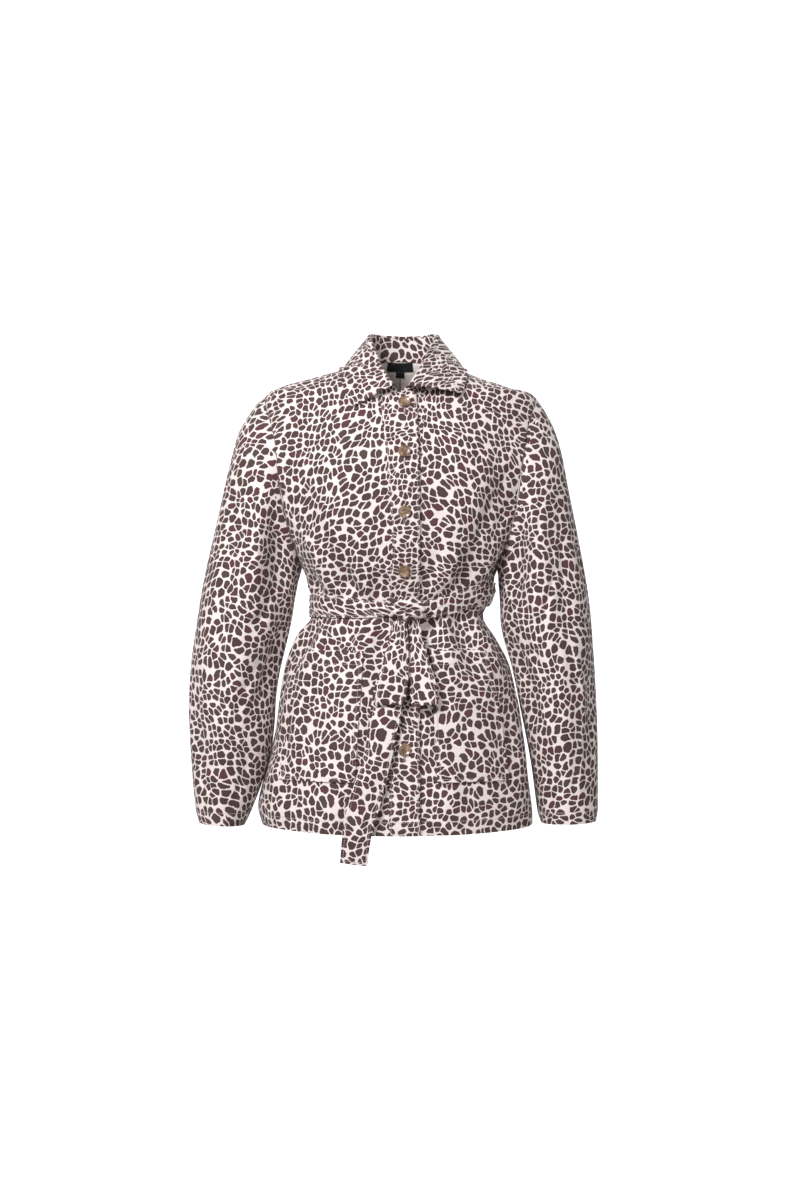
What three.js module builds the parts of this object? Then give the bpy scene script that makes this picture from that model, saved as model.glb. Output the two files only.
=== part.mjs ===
// Belted shirt jacket in spotted cotton, filled out as when it is worn.
// Millimetres, +Z up. The front faces -Y and the wearer's right side is at -X.
// The origin lies between the shoulders, at the base of the neck, where the wearer holds it up.
import * as THREE from 'three'
import { mergeVertices } from 'three/addons/utils/BufferGeometryUtils.js'

// Cloth and seams
const WALL = 1.6
const COLLAR_WALL = 2.0
const SEAM_GAP = 0.4
const ARMHOLE_GAP = 1.7
const UNDERARM_GAP = 1.1
const NECK_GAP = 0.8
const LABEL_WALL = 0.8

// Belt and buttons
const BELT_WALL = 2.0
const BUTTON_DIAMETER = 18
const BUTTON_THICKNESS = 3.2
const BUTTON_LINE = 6.5
const BUTTON_HEIGHTS = [-55, -128, -215, -300, -386, -470, -556]

// Front edges, measured across from the middle of the body
const RIGHT_FRONT_EDGE = 28.5
const LEFT_FRONT_EDGE = -15
const LAP_START = 46
const LAP_END = 80
const LAP_GAP = 2.6
const LAP_MIDDLE = 3
const LAP_STIFF = 9
const LAP_SOFT = 24

// Rows of the body sections where the armhole begins and ends, and where the neck lies
const UNDERARM_ROW = 9.9
const SHOULDER_ROW = 14
const NECK_FRONT_ROW = 14
const NECK_SIDE_ROW = 18.2
const NECK_BACK_ROW = 19
const RISE_START = 0.7
const HEM_DIP = 7
const HEM_DIP_ROWS = 2
const NECK_SHARE = 0.45

// How far the armhole bites into the front and the back, in degrees round the body
const ARMHOLE_BITE_FRONT = 21
const ARMHOLE_BITE_BACK = 19

// Mesh counts
const FRONT_COLUMNS = 13
const BACK_COLUMNS = 10
const BODY_ROWS = 26
const SLEEVE_COLUMNS = 20
const SLEEVE_ROWS = 20
const COLLAR_COLUMNS = 26
const BELT_COLUMNS = 44

// Level sections of the body, from the hem up to the neck: height, reach to the wearer's right
// and left, depth to the front and back, and how square the section is
const BODY_SECTIONS = [
  { z: -672, right: 206, left: 199, front: 150, back: 149, square: 2.3 },
  { z: -645, right: 211, left: 199, front: 150, back: 149, square: 2.3 },
  { z: -600, right: 199, left: 193, front: 147, back: 146, square: 2.3 },
  { z: -545, right: 187, left: 186, front: 141, back: 140, square: 2.3 },
  { z: -490, right: 181, left: 176, front: 133, back: 132, square: 2.3 },
  { z: -440, right: 171, left: 164, front: 123, back: 121, square: 2.3 },
  { z: -400, right: 152, left: 143, front: 111, back: 108, square: 2.3 },
  { z: -370, right: 134, left: 124, front: 102, back: 99, square: 2.3 },
  { z: -345, right: 131, left: 133, front: 100, back: 97, square: 2.3 },
  { z: -318, right: 136, left: 140, front: 107, back: 103, square: 2.35 },
  { z: -290, right: 149, left: 147, front: 116, back: 112, square: 2.4 },
  { z: -243, right: 170, left: 168, front: 123, back: 119, square: 2.4 },
  { z: -163, right: 190, left: 188, front: 124, back: 122, square: 2.4 },
  { z: -93, right: 197, left: 196, front: 110, back: 117, square: 2.2 },
  { z: -41, right: 197, left: 197, front: 89, back: 99, square: 2.0 },
  { z: -24, right: 180, left: 163, front: 77, back: 87, square: 2.0 },
  { z: -12, right: 138, left: 126, front: 70, back: 78, square: 2.0 },
  { z: -1, right: 98, left: 96, front: 64, back: 70, square: 2.0 },
  { z: 7, right: 69, left: 69, front: 60, back: 65, square: 2.0 },
  { z: 22, right: 60, left: 60, front: 55, back: 60, square: 2.0 },
]

// A fold starts at the belt's edge, is at its full height a little further off, and holds that
// height for a share of its reach
const FOLD_STARTS = 14
const FOLD_FULL = 36
const FOLD_HOLDS = 0.3

// Folds drawn in by the belt: place round the body and width in degrees, reach above and below
// the belt, height of the ridge (a negative height is a trough), and its lean in degrees each 100 mm
const BELT_FOLDS = [
  { angle: -12, width: 13, above: 70, below: 90, height: -7, lean: -2 },
  { angle: -24, width: 12, above: 110, below: 130, height: 7, lean: -4 },
  { angle: -37, width: 13, above: 90, below: 110, height: -8, lean: -5 },
  { angle: -51, width: 13, above: 130, below: 150, height: 7, lean: -5 },
  { angle: -66, width: 14, above: 80, below: 120, height: -8, lean: -4 },
  { angle: -82, width: 13, above: 60, below: 100, height: 6, lean: -2 },
  { angle: 16, width: 13, above: 100, below: 80, height: -7, lean: 3 },
  { angle: 30, width: 13, above: 120, below: 120, height: 7, lean: 4 },
  { angle: 45, width: 14, above: 90, below: 150, height: -8, lean: 5 },
  { angle: 60, width: 13, above: 110, below: 130, height: 7, lean: 5 },
  { angle: 76, width: 13, above: 70, below: 160, height: -7, lean: 3 },
  { angle: 105, width: 14, above: 80, below: 110, height: 6, lean: -2 },
  { angle: 122, width: 13, above: 110, below: 130, height: -8, lean: -4 },
  { angle: 139, width: 14, above: 90, below: 150, height: 7, lean: -4 },
  { angle: 156, width: 13, above: 130, below: 120, height: -7, lean: -3 },
  { angle: 172, width: 13, above: 80, below: 140, height: 6, lean: -1 },
  { angle: -170, width: 13, above: 120, below: 110, height: -6, lean: 1 },
  { angle: -153, width: 14, above: 90, below: 140, height: 7, lean: 3 },
  { angle: -136, width: 13, above: 120, below: 120, height: -8, lean: 4 },
  { angle: -118, width: 13, above: 80, below: 150, height: 7, lean: 4 },
  { angle: -101, width: 13, above: 70, below: 110, height: -7, lean: 2 },
]

// Drapes over the chest, back and skirt: place and width in degrees, middle height, half length,
// height of the ridge and lean in degrees each 100 mm
const DRAPES = [
  { angle: -57, width: 11, z: -190, reach: 110, height: -6, lean: -9 },
  { angle: -40, width: 15, z: -210, reach: 100, height: 4, lean: -8 },
  { angle: 57, width: 11, z: -200, reach: 110, height: -6, lean: 9 },
  { angle: 42, width: 15, z: -190, reach: 90, height: 4, lean: 7 },
  { angle: 124, width: 12, z: -190, reach: 110, height: -6, lean: -8 },
  { angle: -126, width: 12, z: -200, reach: 110, height: -6, lean: 8 },
  { angle: 68, width: 14, z: -590, reach: 120, height: 7, lean: 2 },
  { angle: 88, width: 14, z: -600, reach: 110, height: -5, lean: 0 },
  { angle: -72, width: 15, z: -600, reach: 110, height: 5, lean: -2 },
  { angle: 20, width: 18, z: -620, reach: 90, height: 4, lean: 0 },
  { angle: -36, width: 18, z: -630, reach: 90, height: 4, lean: 0 },
  { angle: 135, width: 17, z: -600, reach: 110, height: 6, lean: -1 },
  { angle: 165, width: 16, z: -610, reach: 100, height: -4, lean: 0 },
  { angle: -150, width: 17, z: -600, reach: 110, height: 6, lean: 1 },
]

// Sleeve sections from armhole to cuff: outer and inner profile points seen from the front
// (x counted away from the middle), half depth, and how far the middle lies forward
const RIGHT_SLEEVE = [
  { outerX: 199, outerZ: -40, innerX: 149, innerZ: -290, depth: 66, forward: 0 },
  { outerX: 222, outerZ: -54, innerX: 151, innerZ: -302, depth: 72, forward: 1 },
  { outerX: 241, outerZ: -90, innerX: 153, innerZ: -314, depth: 76, forward: 2 },
  { outerX: 251, outerZ: -126, innerX: 155, innerZ: -328, depth: 78, forward: 3 },
  { outerX: 262, outerZ: -172, innerX: 158, innerZ: -345, depth: 79, forward: 4 },
  { outerX: 273, outerZ: -222, innerX: 161, innerZ: -366, depth: 79, forward: 6 },
  { outerX: 285, outerZ: -274, innerX: 166, innerZ: -391, depth: 78, forward: 8 },
  { outerX: 296, outerZ: -328, innerX: 173, innerZ: -421, depth: 76, forward: 10 },
  { outerX: 305, outerZ: -384, innerX: 180, innerZ: -452, depth: 74, forward: 12 },
  { outerX: 313, outerZ: -440, innerX: 185, innerZ: -488, depth: 71, forward: 14 },
  { outerX: 315, outerZ: -500, innerX: 187, innerZ: -526, depth: 68, forward: 17 },
  { outerX: 312, outerZ: -560, innerX: 193, innerZ: -573, depth: 63, forward: 20 },
  { outerX: 308, outerZ: -612, innerX: 206, innerZ: -616, depth: 57, forward: 23 },
  { outerX: 304, outerZ: -648, innerX: 219, innerZ: -650, depth: 52, forward: 25 },
  { outerX: 298, outerZ: -671, innerX: 231, innerZ: -675, depth: 49, forward: 26 },
]
const LEFT_SLEEVE = [
  { outerX: 199, outerZ: -40, innerX: 147, innerZ: -290, depth: 66, forward: 0 },
  { outerX: 214, outerZ: -60, innerX: 148, innerZ: -303, depth: 72, forward: 1 },
  { outerX: 232, outerZ: -92, innerX: 148, innerZ: -318, depth: 76, forward: 2 },
  { outerX: 243, outerZ: -128, innerX: 149, innerZ: -334, depth: 78, forward: 3 },
  { outerX: 252, outerZ: -176, innerX: 151, innerZ: -354, depth: 79, forward: 4 },
  { outerX: 262, outerZ: -226, innerX: 154, innerZ: -378, depth: 79, forward: 6 },
  { outerX: 271, outerZ: -274, innerX: 160, innerZ: -404, depth: 78, forward: 8 },
  { outerX: 280, outerZ: -326, innerX: 170, innerZ: -434, depth: 76, forward: 10 },
  { outerX: 286, outerZ: -380, innerX: 178, innerZ: -464, depth: 74, forward: 12 },
  { outerX: 289, outerZ: -436, innerX: 184, innerZ: -500, depth: 71, forward: 14 },
  { outerX: 291, outerZ: -498, innerX: 190, innerZ: -540, depth: 68, forward: 17 },
  { outerX: 293, outerZ: -558, innerX: 197, innerZ: -584, depth: 63, forward: 20 },
  { outerX: 294, outerZ: -612, innerX: 200, innerZ: -622, depth: 58, forward: 23 },
  { outerX: 294, outerZ: -648, innerX: 204, innerZ: -652, depth: 54, forward: 25 },
  { outerX: 291, outerZ: -669, innerX: 210, innerZ: -672, depth: 51, forward: 26 },
]

// Sleeve folds: turn round the sleeve in degrees (0 outer, 90 front, 180 inner), width in degrees,
// section where the fold is deepest, half length in sections, height, and turn for each section
const SLEEVE_FOLDS = [
  { turn: 62, width: 26, at: 5, reach: 4, height: -8, lean: 5 },
  { turn: 112, width: 24, at: 4.5, reach: 3.5, height: 8, lean: 3 },
  { turn: 140, width: 24, at: 7.5, reach: 3, height: -8, lean: -6 },
  { turn: 90, width: 30, at: 9.5, reach: 3, height: 7, lean: -5 },
  { turn: 40, width: 26, at: 10.5, reach: 3, height: -6, lean: 6 },
  { turn: 235, width: 28, at: 4.5, reach: 4, height: -8, lean: -4 },
  { turn: 275, width: 28, at: 9, reach: 3.5, height: 7, lean: 5 },
  { turn: 315, width: 28, at: 7, reach: 4, height: -7, lean: -3 },
]

// Collar stations from the front end to the back of the neck: the line where the leaf rolls over,
// seen from inside the neck, and the outer edge of the leaf
const COLLAR_STATIONS = [
  { rollX: 8, rollY: -97, rollZ: -34, edgeX: 78, edgeY: -92, edgeZ: -51 },
  { rollX: 20, rollY: -77, rollZ: -13, edgeX: 86, edgeY: -80, edgeZ: -38 },
  { rollX: 29.5, rollY: -51, rollZ: 8, edgeX: 91, edgeY: -61, edgeZ: -22 },
  { rollX: 37.5, rollY: -24, rollZ: 30, edgeX: 93, edgeY: -36, edgeZ: -8 },
  { rollX: 46.5, rollY: 4, rollZ: 50, edgeX: 93, edgeY: -4, edgeZ: 2 },
  { rollX: 45, rollY: 34, rollZ: 58, edgeX: 85, edgeY: 42, edgeZ: 2 },
  { rollX: 26, rollY: 52, rollZ: 58, edgeX: 50, edgeY: 77, edgeZ: -4 },
  { rollX: 0, rollY: 58, rollZ: 57, edgeX: 0, edgeY: 87, edgeZ: -8 },
]
const COLLAR_MIDDLE = 5.5
// The wearer's right tip hangs lower and nearer the middle than the left one
const TIP_SKEW = { across: 5, down: 11 }
const ROLL_RADIUS = 3.6
const LEAF_BULGE = 7
const LEAF_CLEARANCE = 2.6

// Belt line: height at the wearer's right, and how much it rises on the wearer's left
const BELT_HEIGHT = -355
const BELT_RISE = 22
// The rise is spread over distances across the waist, whose half width is the last of the three
const BELT_RISE_START = 50
const BELT_RISE_END = 135
const WAIST_HALF = 135
const BELT_HALF_RIGHT = 13
const BELT_HALF_LEFT = 16.5
const BELT_CLEARANCE = 1.3
const BELT_CROWN = 2.2

// Knot and hanging ends
const KNOT = { x: 9.5, z: -354, off: 10.9, halfWidth: 26, halfHeight: 14.5, halfDepth: 12 }

// Middle line (off counts forward from the front of the body), half width, twist and curl
// of each hanging strip. The loop runs down its front layer and back up behind it.
const BOW_LOOP = [
  { x: 1, off: 19, z: -373, half: 8, twist: 0.1, curl: 2 },
  { x: -2, off: 22, z: -400, half: 11, twist: 0.1, curl: 3 },
  { x: -7, off: 23, z: -435, half: 15, twist: 0.05, curl: 3 },
  { x: -11, off: 22, z: -468, half: 19, twist: 0, curl: 2 },
  { x: -14, off: 20, z: -486, half: 20, twist: 0, curl: 1 },
  { x: -14, off: 16, z: -491, half: 20, twist: 0, curl: 0 },
  { x: -14, off: 12.6, z: -484, half: 20, twist: 0, curl: 0 },
  { x: -11, off: 12, z: -468, half: 18, twist: 0, curl: 0 },
  { x: -7, off: 12, z: -435, half: 14, twist: 0, curl: 0 },
  { x: -2, off: 11.5, z: -400, half: 10, twist: 0, curl: 0 },
  { x: 1, off: 9.5, z: -376, half: 8, twist: 0, curl: 0 },
  { x: 1, off: 8.4, z: -360, half: 8, twist: 0, curl: 0 },
]
const SHORT_END = [
  { x: 19, off: 8, z: -360, half: 8, twist: -0.1, curl: 0 },
  { x: 20, off: 10, z: -376, half: 8, twist: -0.15, curl: 1 },
  { x: 22.5, off: 14, z: -402, half: 10.5, twist: -0.15, curl: 3 },
  { x: 27.5, off: 16, z: -438, half: 15.5, twist: -0.1, curl: 3 },
  { x: 33, off: 16, z: -470, half: 18, twist: -0.05, curl: 2 },
  { x: 36, off: 17, z: -492, half: 19, twist: 0, curl: 1 },
]
const LONG_END = [
  { x: 0, off: 7.8, z: -360, half: 8.5, twist: 0, curl: 0 },
  { x: -1, off: 8, z: -376, half: 9, twist: 0, curl: 0 },
  { x: -6, off: 8.4, z: -402, half: 11, twist: 0, curl: 1 },
  { x: -11, off: 8.6, z: -436, half: 15, twist: 0, curl: 1 },
  { x: -17, off: 8.8, z: -470, half: 20, twist: 0, curl: 1 },
  { x: -20, off: 10, z: -500, half: 22, twist: 0, curl: 2 },
  { x: -25, off: 12, z: -526, half: 21, twist: 0, curl: 3 },
  { x: -30, off: 13, z: -558, half: 20, twist: 0.05, curl: 3 },
  { x: -40, off: 14, z: -594, half: 21, twist: 0.05, curl: 2 },
  { x: -50, off: 14, z: -630, half: 22, twist: 0, curl: 2 },
  { x: -60, off: 14, z: -668, half: 21, twist: 0, curl: 2 },
  { x: -66, off: 13, z: -718, half: 19.5, twist: 0, curl: 1 },
]

// Pockets: edges across the body at top and bottom, counted from the middle, and heights
const POCKET_WALL = 1.6
const POCKET_GAP = 1.35
const POCKET_TOP = -416
const POCKET_BOTTOM = -603
const RIGHT_POCKET = { inner: -24, outer: -64 }
const LEFT_POCKET = { inner: 20, outer: 58 }

// Neck label and size tab: half width and the rows of the body between which each lies, and the
// radius of the back of the neck, by which a width becomes an angle
const NECK_LABEL = { halfWidth: 20.5, topRow: 18.75, bottomRow: 17.6 }
const SIZE_TAB = { halfWidth: 6, topRow: 17.5, bottomRow: 16.9 }
const LABEL_RADIUS = 62

// Mesh counts of the two small sheets: the collar leaf's steps over the roll and down the
// fall, and the steps of a pocket across and up
const ROLL_STEPS = 4
const FALL_STEPS = 6
const POCKET_COLUMNS = 8
const POCKET_ROWS = 10

const DEGREE = Math.PI / 180
const UP = new THREE.Vector3(0, 0, 1)
const { lerp, clamp, smoothstep } = THREE.MathUtils

// Colours and finishes
const CLOTH = { color: 0xb8a4a3, roughness: 0.85, metalness: 0 }
const SHELL = { color: 0x9a6a3a, roughness: 0.3, metalness: 0 }
const DARK_LABEL = { color: 0x141214, roughness: 0.7, metalness: 0 }

// A value on a smooth curve through four neighbouring table rows
function smoothValue(before, from, to, after, t) {
  const slopeFrom = (to - before) / 2
  const slopeTo = (after - from) / 2
  const bend = 3 * (to - from) - 2 * slopeFrom - slopeTo
  const twist = 2 * (from - to) + slopeFrom + slopeTo
  return from + slopeFrom * t + bend * t * t + twist * t * t * t
}

// All columns of a table, read at a place between its rows
function sample(table, place) {
  const last = table.length - 1
  const start = clamp(Math.floor(place), 0, last - 1)
  const values = {}
  for (const name of Object.keys(table[0])) {
    values[name] = smoothValue(
      table[Math.max(start - 1, 0)][name],
      table[start][name],
      table[start + 1][name],
      table[Math.min(start + 2, last)][name],
      place - start,
    )
  }
  return values
}

// Row of the body sections at a height
function rowAtHeight(z) {
  let low = 0
  let high = BODY_SECTIONS.length - 1
  for (let step = 0; step < 30; step += 1) {
    const middle = (low + high) / 2
    if (sample(BODY_SECTIONS, middle).z < z) low = middle
    else high = middle
  }
  return (low + high) / 2
}

// Difference of two angles in degrees, within half a turn
function turnBetween(a, b) {
  return ((((a - b + 180) % 360) + 360) % 360) - 180
}

// A round bump that is 1 in the middle and 0 at the given half width
function bump(distance, halfWidth) {
  const share = Math.min(Math.abs(distance) / halfWidth, 1)
  return 0.5 + 0.5 * Math.cos(Math.PI * share)
}

// Height of the middle of the belt, which rises towards the wearer's left
function beltHeight(angle) {
  const across = Math.sin(angle) * WAIST_HALF
  return BELT_HEIGHT + BELT_RISE * smoothstep(across, BELT_RISE_START, BELT_RISE_END)
}

// How far the folds lift the cloth of the body off its plain sections. The doubled lap stays flat.
function foldHeight(angle, z) {
  const degrees = angle / DEGREE
  const fromBelt = z - beltHeight(angle)
  const awayFromBelt = Math.abs(fromBelt)
  let height = 0
  for (const fold of BELT_FOLDS) {
    const reach = fromBelt > 0 ? fold.above : fold.below
    const fade = smoothstep(awayFromBelt, FOLD_STARTS, FOLD_FULL)
      * (1 - smoothstep(awayFromBelt, FOLD_HOLDS * reach, reach))
    const place = fold.angle + fold.lean * awayFromBelt / 100
    height += fold.height * fade * bump(turnBetween(degrees, place), fold.width)
  }
  for (const drape of DRAPES) {
    const along = z - drape.z
    const place = drape.angle + drape.lean * along / 100
    const edge = bump(turnBetween(degrees, place), drape.width)
    height += drape.height * edge * bump(along, drape.reach)
  }
  return height * smoothstep(Math.abs(degrees - LAP_MIDDLE), LAP_STIFF, LAP_SOFT)
}

// Outer face of the body: angle 0 is the centre front, a quarter turn is the wearer's left side
function bodyPoint(angle, row, lift = 0) {
  const section = sample(BODY_SECTIONS, row)
  const sine = Math.sin(angle)
  const cosine = Math.cos(angle)
  const halfWidth = sine >= 0 ? section.left : section.right
  const halfDepth = cosine >= 0 ? section.front : section.back
  const share = Math.abs(cosine / halfDepth) ** section.square + Math.abs(sine / halfWidth) ** section.square
  const radius = share ** (-1 / section.square) + foldHeight(angle, section.z) + lift
  const dip = HEM_DIP * Math.max(cosine, 0) * Math.max(1 - row / HEM_DIP_ROWS, 0)
  return new THREE.Vector3(sine * radius, -cosine * radius, section.z - dip)
}

// Outward normal of the body's outer face
function bodyNormal(angle, row) {
  const step = 0.01
  const across = bodyPoint(angle + step, row).sub(bodyPoint(angle - step, row))
  const upward = bodyPoint(angle, row + step).sub(bodyPoint(angle, row - step))
  return across.cross(upward).normalize()
}

// Angle round the body at which a row reaches a distance across
function angleAcross(x, row) {
  let angle = Math.atan2(x, 110)
  for (let step = 0; step < 6; step += 1) {
    const point = bodyPoint(angle, row)
    angle = Math.atan2(x, -point.y)
  }
  return angle
}

// Edge of the armhole at a share of the way from the shoulder (0) to the underarm (1)
function armholeSpot(share, side, front) {
  const turn = share * Math.PI
  const middle = (SHOULDER_ROW + UNDERARM_ROW) / 2
  const half = (SHOULDER_ROW - UNDERARM_ROW) / 2
  const bite = front ? ARMHOLE_BITE_FRONT : ARMHOLE_BITE_BACK
  const inset = bite * Math.max(Math.sin(turn), 0) ** (1.4 + 0.6 * Math.cos(turn))
  const degrees = front ? 90 - inset : 90 + inset
  return { angle: side * degrees * DEGREE, row: middle + half * Math.cos(turn) }
}

// Side edge of a panel at a share of its height: side seam, then armhole
function sideEdgeSpot(v, side, front) {
  const row = v * SHOULDER_ROW
  if (row <= UNDERARM_ROW) return { angle: side * 90 * DEGREE, row }
  const half = (SHOULDER_ROW - UNDERARM_ROW) / 2
  const share = Math.acos(clamp((row - UNDERARM_ROW) / half - 1, -1, 1)) / Math.PI
  return armholeSpot(share, side, front)
}

// Row of the neckline at an angle round the neck
function neckRow(angle) {
  const degrees = Math.abs(angle / DEGREE)
  if (degrees <= 90) return lerp(NECK_FRONT_ROW, NECK_SIDE_ROW, Math.sin(degrees * DEGREE))
  return lerp(NECK_SIDE_ROW, NECK_BACK_ROW, (degrees - 90) / 90)
}

// Top edge of a panel at a share of its width: neckline, then shoulder seam
function topEdgeSpot(u, startAngle, side) {
  const sideAngle = side * 90 * DEGREE
  if (u <= NECK_SHARE) {
    const angle = lerp(startAngle, sideAngle, u / NECK_SHARE)
    return { angle, row: neckRow(angle) }
  }
  const share = (u - NECK_SHARE) / (1 - NECK_SHARE)
  return { angle: sideAngle, row: lerp(NECK_SIDE_ROW, SHOULDER_ROW, share) }
}

// Place on the body of a panel's grid point, from the middle edge (u 0) to the side (u 1)
function panelSpot(u, v, side, front, middleAngle) {
  const plainRow = v * SHOULDER_ROW
  const start = middleAngle(plainRow)
  const sideEdge = sideEdgeSpot(v, side, front)
  const topStart = middleAngle(SHOULDER_ROW)
  const top = topEdgeSpot(u, topStart, side)
  const rise = clamp((v - RISE_START) / (1 - RISE_START), 0, 1) ** 2
  const topPlain = lerp(topStart, side * 90 * DEGREE, u)
  const angle = lerp(start, sideEdge.angle, u) + rise * (top.angle - topPlain)
  const row = plainRow + rise * (top.row - SHOULDER_ROW)
  return { angle, row }
}

// Moves a panel's outer edges back by half a seam gap, measured along the cloth
function seamed(spot, u, v, side, front, middleSeam) {
  const radius = Math.hypot(bodyPoint(spot.angle, spot.row).x, bodyPoint(spot.angle, spot.row).y)
  const inward = front ? -side : side
  let angle = spot.angle
  if (u === 1 || (v === 1 && u >= NECK_SHARE)) angle += inward * SEAM_GAP / 2 / radius
  if (u === 0 && middleSeam) angle -= inward * SEAM_GAP / 2 / radius
  return { angle, row: spot.row }
}

// Closed wall from a grid of outer points and the matching inner points.
// Rows run along the first index, and a closed grid joins its last column to its first.
function wallGeometry(outer, inner, closed = false) {
  const rows = outer.length
  const columns = outer[0].length
  const positions = []
  for (const layer of [outer, inner]) {
    for (const row of layer) {
      for (const point of row) positions.push(point.x, point.y, point.z)
    }
  }
  const outerAt = (r, c) => r * columns + (c % columns)
  const innerAt = (r, c) => rows * columns + outerAt(r, c)
  const faces = []
  const quad = (a, b, c, d) => faces.push(a, b, c, a, c, d)
  const lastColumn = closed ? columns : columns - 1
  for (let r = 0; r < rows - 1; r += 1) {
    for (let c = 0; c < lastColumn; c += 1) {
      quad(outerAt(r, c), outerAt(r, c + 1), outerAt(r + 1, c + 1), outerAt(r + 1, c))
      quad(innerAt(r, c), innerAt(r + 1, c), innerAt(r + 1, c + 1), innerAt(r, c + 1))
    }
  }
  for (let c = 0; c < lastColumn; c += 1) {
    quad(outerAt(0, c), innerAt(0, c), innerAt(0, c + 1), outerAt(0, c + 1))
    quad(outerAt(rows - 1, c), outerAt(rows - 1, c + 1), innerAt(rows - 1, c + 1), innerAt(rows - 1, c))
  }
  if (!closed) {
    for (let r = 0; r < rows - 1; r += 1) {
      const end = columns - 1
      quad(outerAt(r, 0), outerAt(r + 1, 0), innerAt(r + 1, 0), innerAt(r, 0))
      quad(outerAt(r, end), innerAt(r, end), innerAt(r + 1, end), outerAt(r + 1, end))
    }
  }
  const geometry = new THREE.BufferGeometry()
  geometry.setAttribute('position', new THREE.Float32BufferAttribute(positions, 3))
  geometry.setIndex(faces)
  return outwardFacing(geometry)
}

// Turns a closed geometry's faces outward, judged by the sign of its volume
function outwardFacing(geometry) {
  const position = geometry.getAttribute('position')
  const index = geometry.getIndex()
  const corners = [new THREE.Vector3(), new THREE.Vector3(), new THREE.Vector3()]
  let volume = 0
  for (let i = 0; i < index.count; i += 3) {
    corners.forEach((corner, k) => corner.fromBufferAttribute(position, index.getX(i + k)))
    volume += corners[0].dot(corners[1].clone().cross(corners[2])) / 6
  }
  if (volume < 0) {
    for (let i = 0; i < index.count; i += 3) {
      const second = index.getX(i + 1)
      index.setX(i + 1, index.getX(i + 2))
      index.setX(i + 2, second)
    }
  }
  geometry.computeVertexNormals()
  return geometry
}

// A grid of values of a function of two shares
function grid(rows, columns, closed, make) {
  const columnCount = closed ? columns : columns + 1
  return Array.from({ length: rows + 1 }, (_, r) => (
    Array.from({ length: columnCount }, (__, c) => make(c / columns, r / rows))
  ))
}

// Wall made from a grid of points, each with the direction in which the cloth has its thickness
function wallFrom(spots, thickness, closed = false) {
  const outer = spots.map((row) => row.map((spot) => spot.point))
  const inner = spots.map((row) => row.map((spot) => spot.point.clone().addScaledVector(spot.inward, thickness)))
  return wallGeometry(outer, inner, closed)
}

// A point lifted off the body along its normal, with the direction back to the body
function onBody(angle, row, height) {
  const normal = bodyNormal(angle, row)
  const point = bodyPoint(angle, row).addScaledVector(normal, height)
  return { point, inward: normal.negate() }
}

// How far the left front sinks under the right one where they lap
function lapDrop(angle, row) {
  const across = bodyPoint(angle, row).x
  return (WALL + LAP_GAP) * (1 - smoothstep(across, LAP_START, LAP_END))
}

function frontPanel(side) {
  const edge = side < 0 ? RIGHT_FRONT_EDGE : LEFT_FRONT_EDGE
  const middleAngle = (row) => angleAcross(edge, row)
  const spots = grid(BODY_ROWS, FRONT_COLUMNS, false, (u, v) => {
    const spot = seamed(panelSpot(u, v, side, true, middleAngle), u, v, side, true, false)
    const drop = side > 0 ? lapDrop(spot.angle, spot.row) : 0
    return onBody(spot.angle, spot.row, -drop)
  })
  return wallFrom(spots, WALL)
}

function backPanel(side) {
  const middleAngle = () => side * Math.PI
  const spots = grid(BODY_ROWS, BACK_COLUMNS, false, (u, v) => {
    const spot = seamed(panelSpot(u, v, side, false, middleAngle), u, v, side, false, true)
    return onBody(spot.angle, spot.row, 0)
  })
  return wallFrom(spots, WALL)
}

// Point of a sleeve section that is drawn from its table row, at a turn from the outer side
function sleeveSectionPoint(table, side, turn, place) {
  const section = sample(table, place)
  const cosine = Math.cos(turn)
  const sine = Math.sin(turn)
  let swell = 0
  for (const fold of SLEEVE_FOLDS) {
    const along = place - fold.at
    const turned = turnBetween(turn / DEGREE, fold.turn + fold.lean * along)
    swell += fold.height * bump(turned, fold.width) * bump(along, fold.reach)
  }
  const halfX = (section.outerX - section.innerX) / 2
  const halfZ = (section.outerZ - section.innerZ) / 2
  const half = Math.hypot(halfX, halfZ)
  const stretch = 1 + swell / half
  const x = (section.outerX + section.innerX) / 2 + halfX * cosine * stretch
  const z = (section.outerZ + section.innerZ) / 2 + halfZ * cosine * stretch
  const y = -section.forward - (section.depth + swell) * sine
  return new THREE.Vector3(side * x, y, z)
}

// Armhole edge of the body at a turn round the sleeve, with the way off the panel and the normal
function armholeEdge(side, turn) {
  const front = Math.sin(turn) >= 0
  const share = Math.acos(clamp(Math.cos(turn), -1, 1)) / Math.PI
  const spot = armholeSpot(share, side, front)
  const step = 0.004
  const ahead = armholeSpot(clamp(share + step, 0, 1), side, front)
  const behind = armholeSpot(clamp(share - step, 0, 1), side, front)
  const along = bodyPoint(ahead.angle, ahead.row).sub(bodyPoint(behind.angle, behind.row)).normalize()
  const normal = bodyNormal(spot.angle, spot.row)
  const away = new THREE.Vector3().crossVectors(along, normal)
  const middle = bodyPoint(side * 90 * DEGREE, (SHOULDER_ROW + UNDERARM_ROW) / 2)
  const point = bodyPoint(spot.angle, spot.row)
  if (away.dot(middle.sub(point)) < 0) away.negate()
  return { point, away, normal }
}

// Point of the sleeve's outer face: the armhole edge first, then its own sections
function sleevePoint(table, side, turn, place) {
  const drawn = sleeveSectionPoint(table, side, turn, place)
  const join = 1 - smoothstep(place, 0, 3)
  if (join === 0) return drawn
  const edge = armholeEdge(side, turn)
  const start = sleeveSectionPoint(table, side, turn, 0)
  return drawn.add(edge.point.sub(start).multiplyScalar(join))
}

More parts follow.
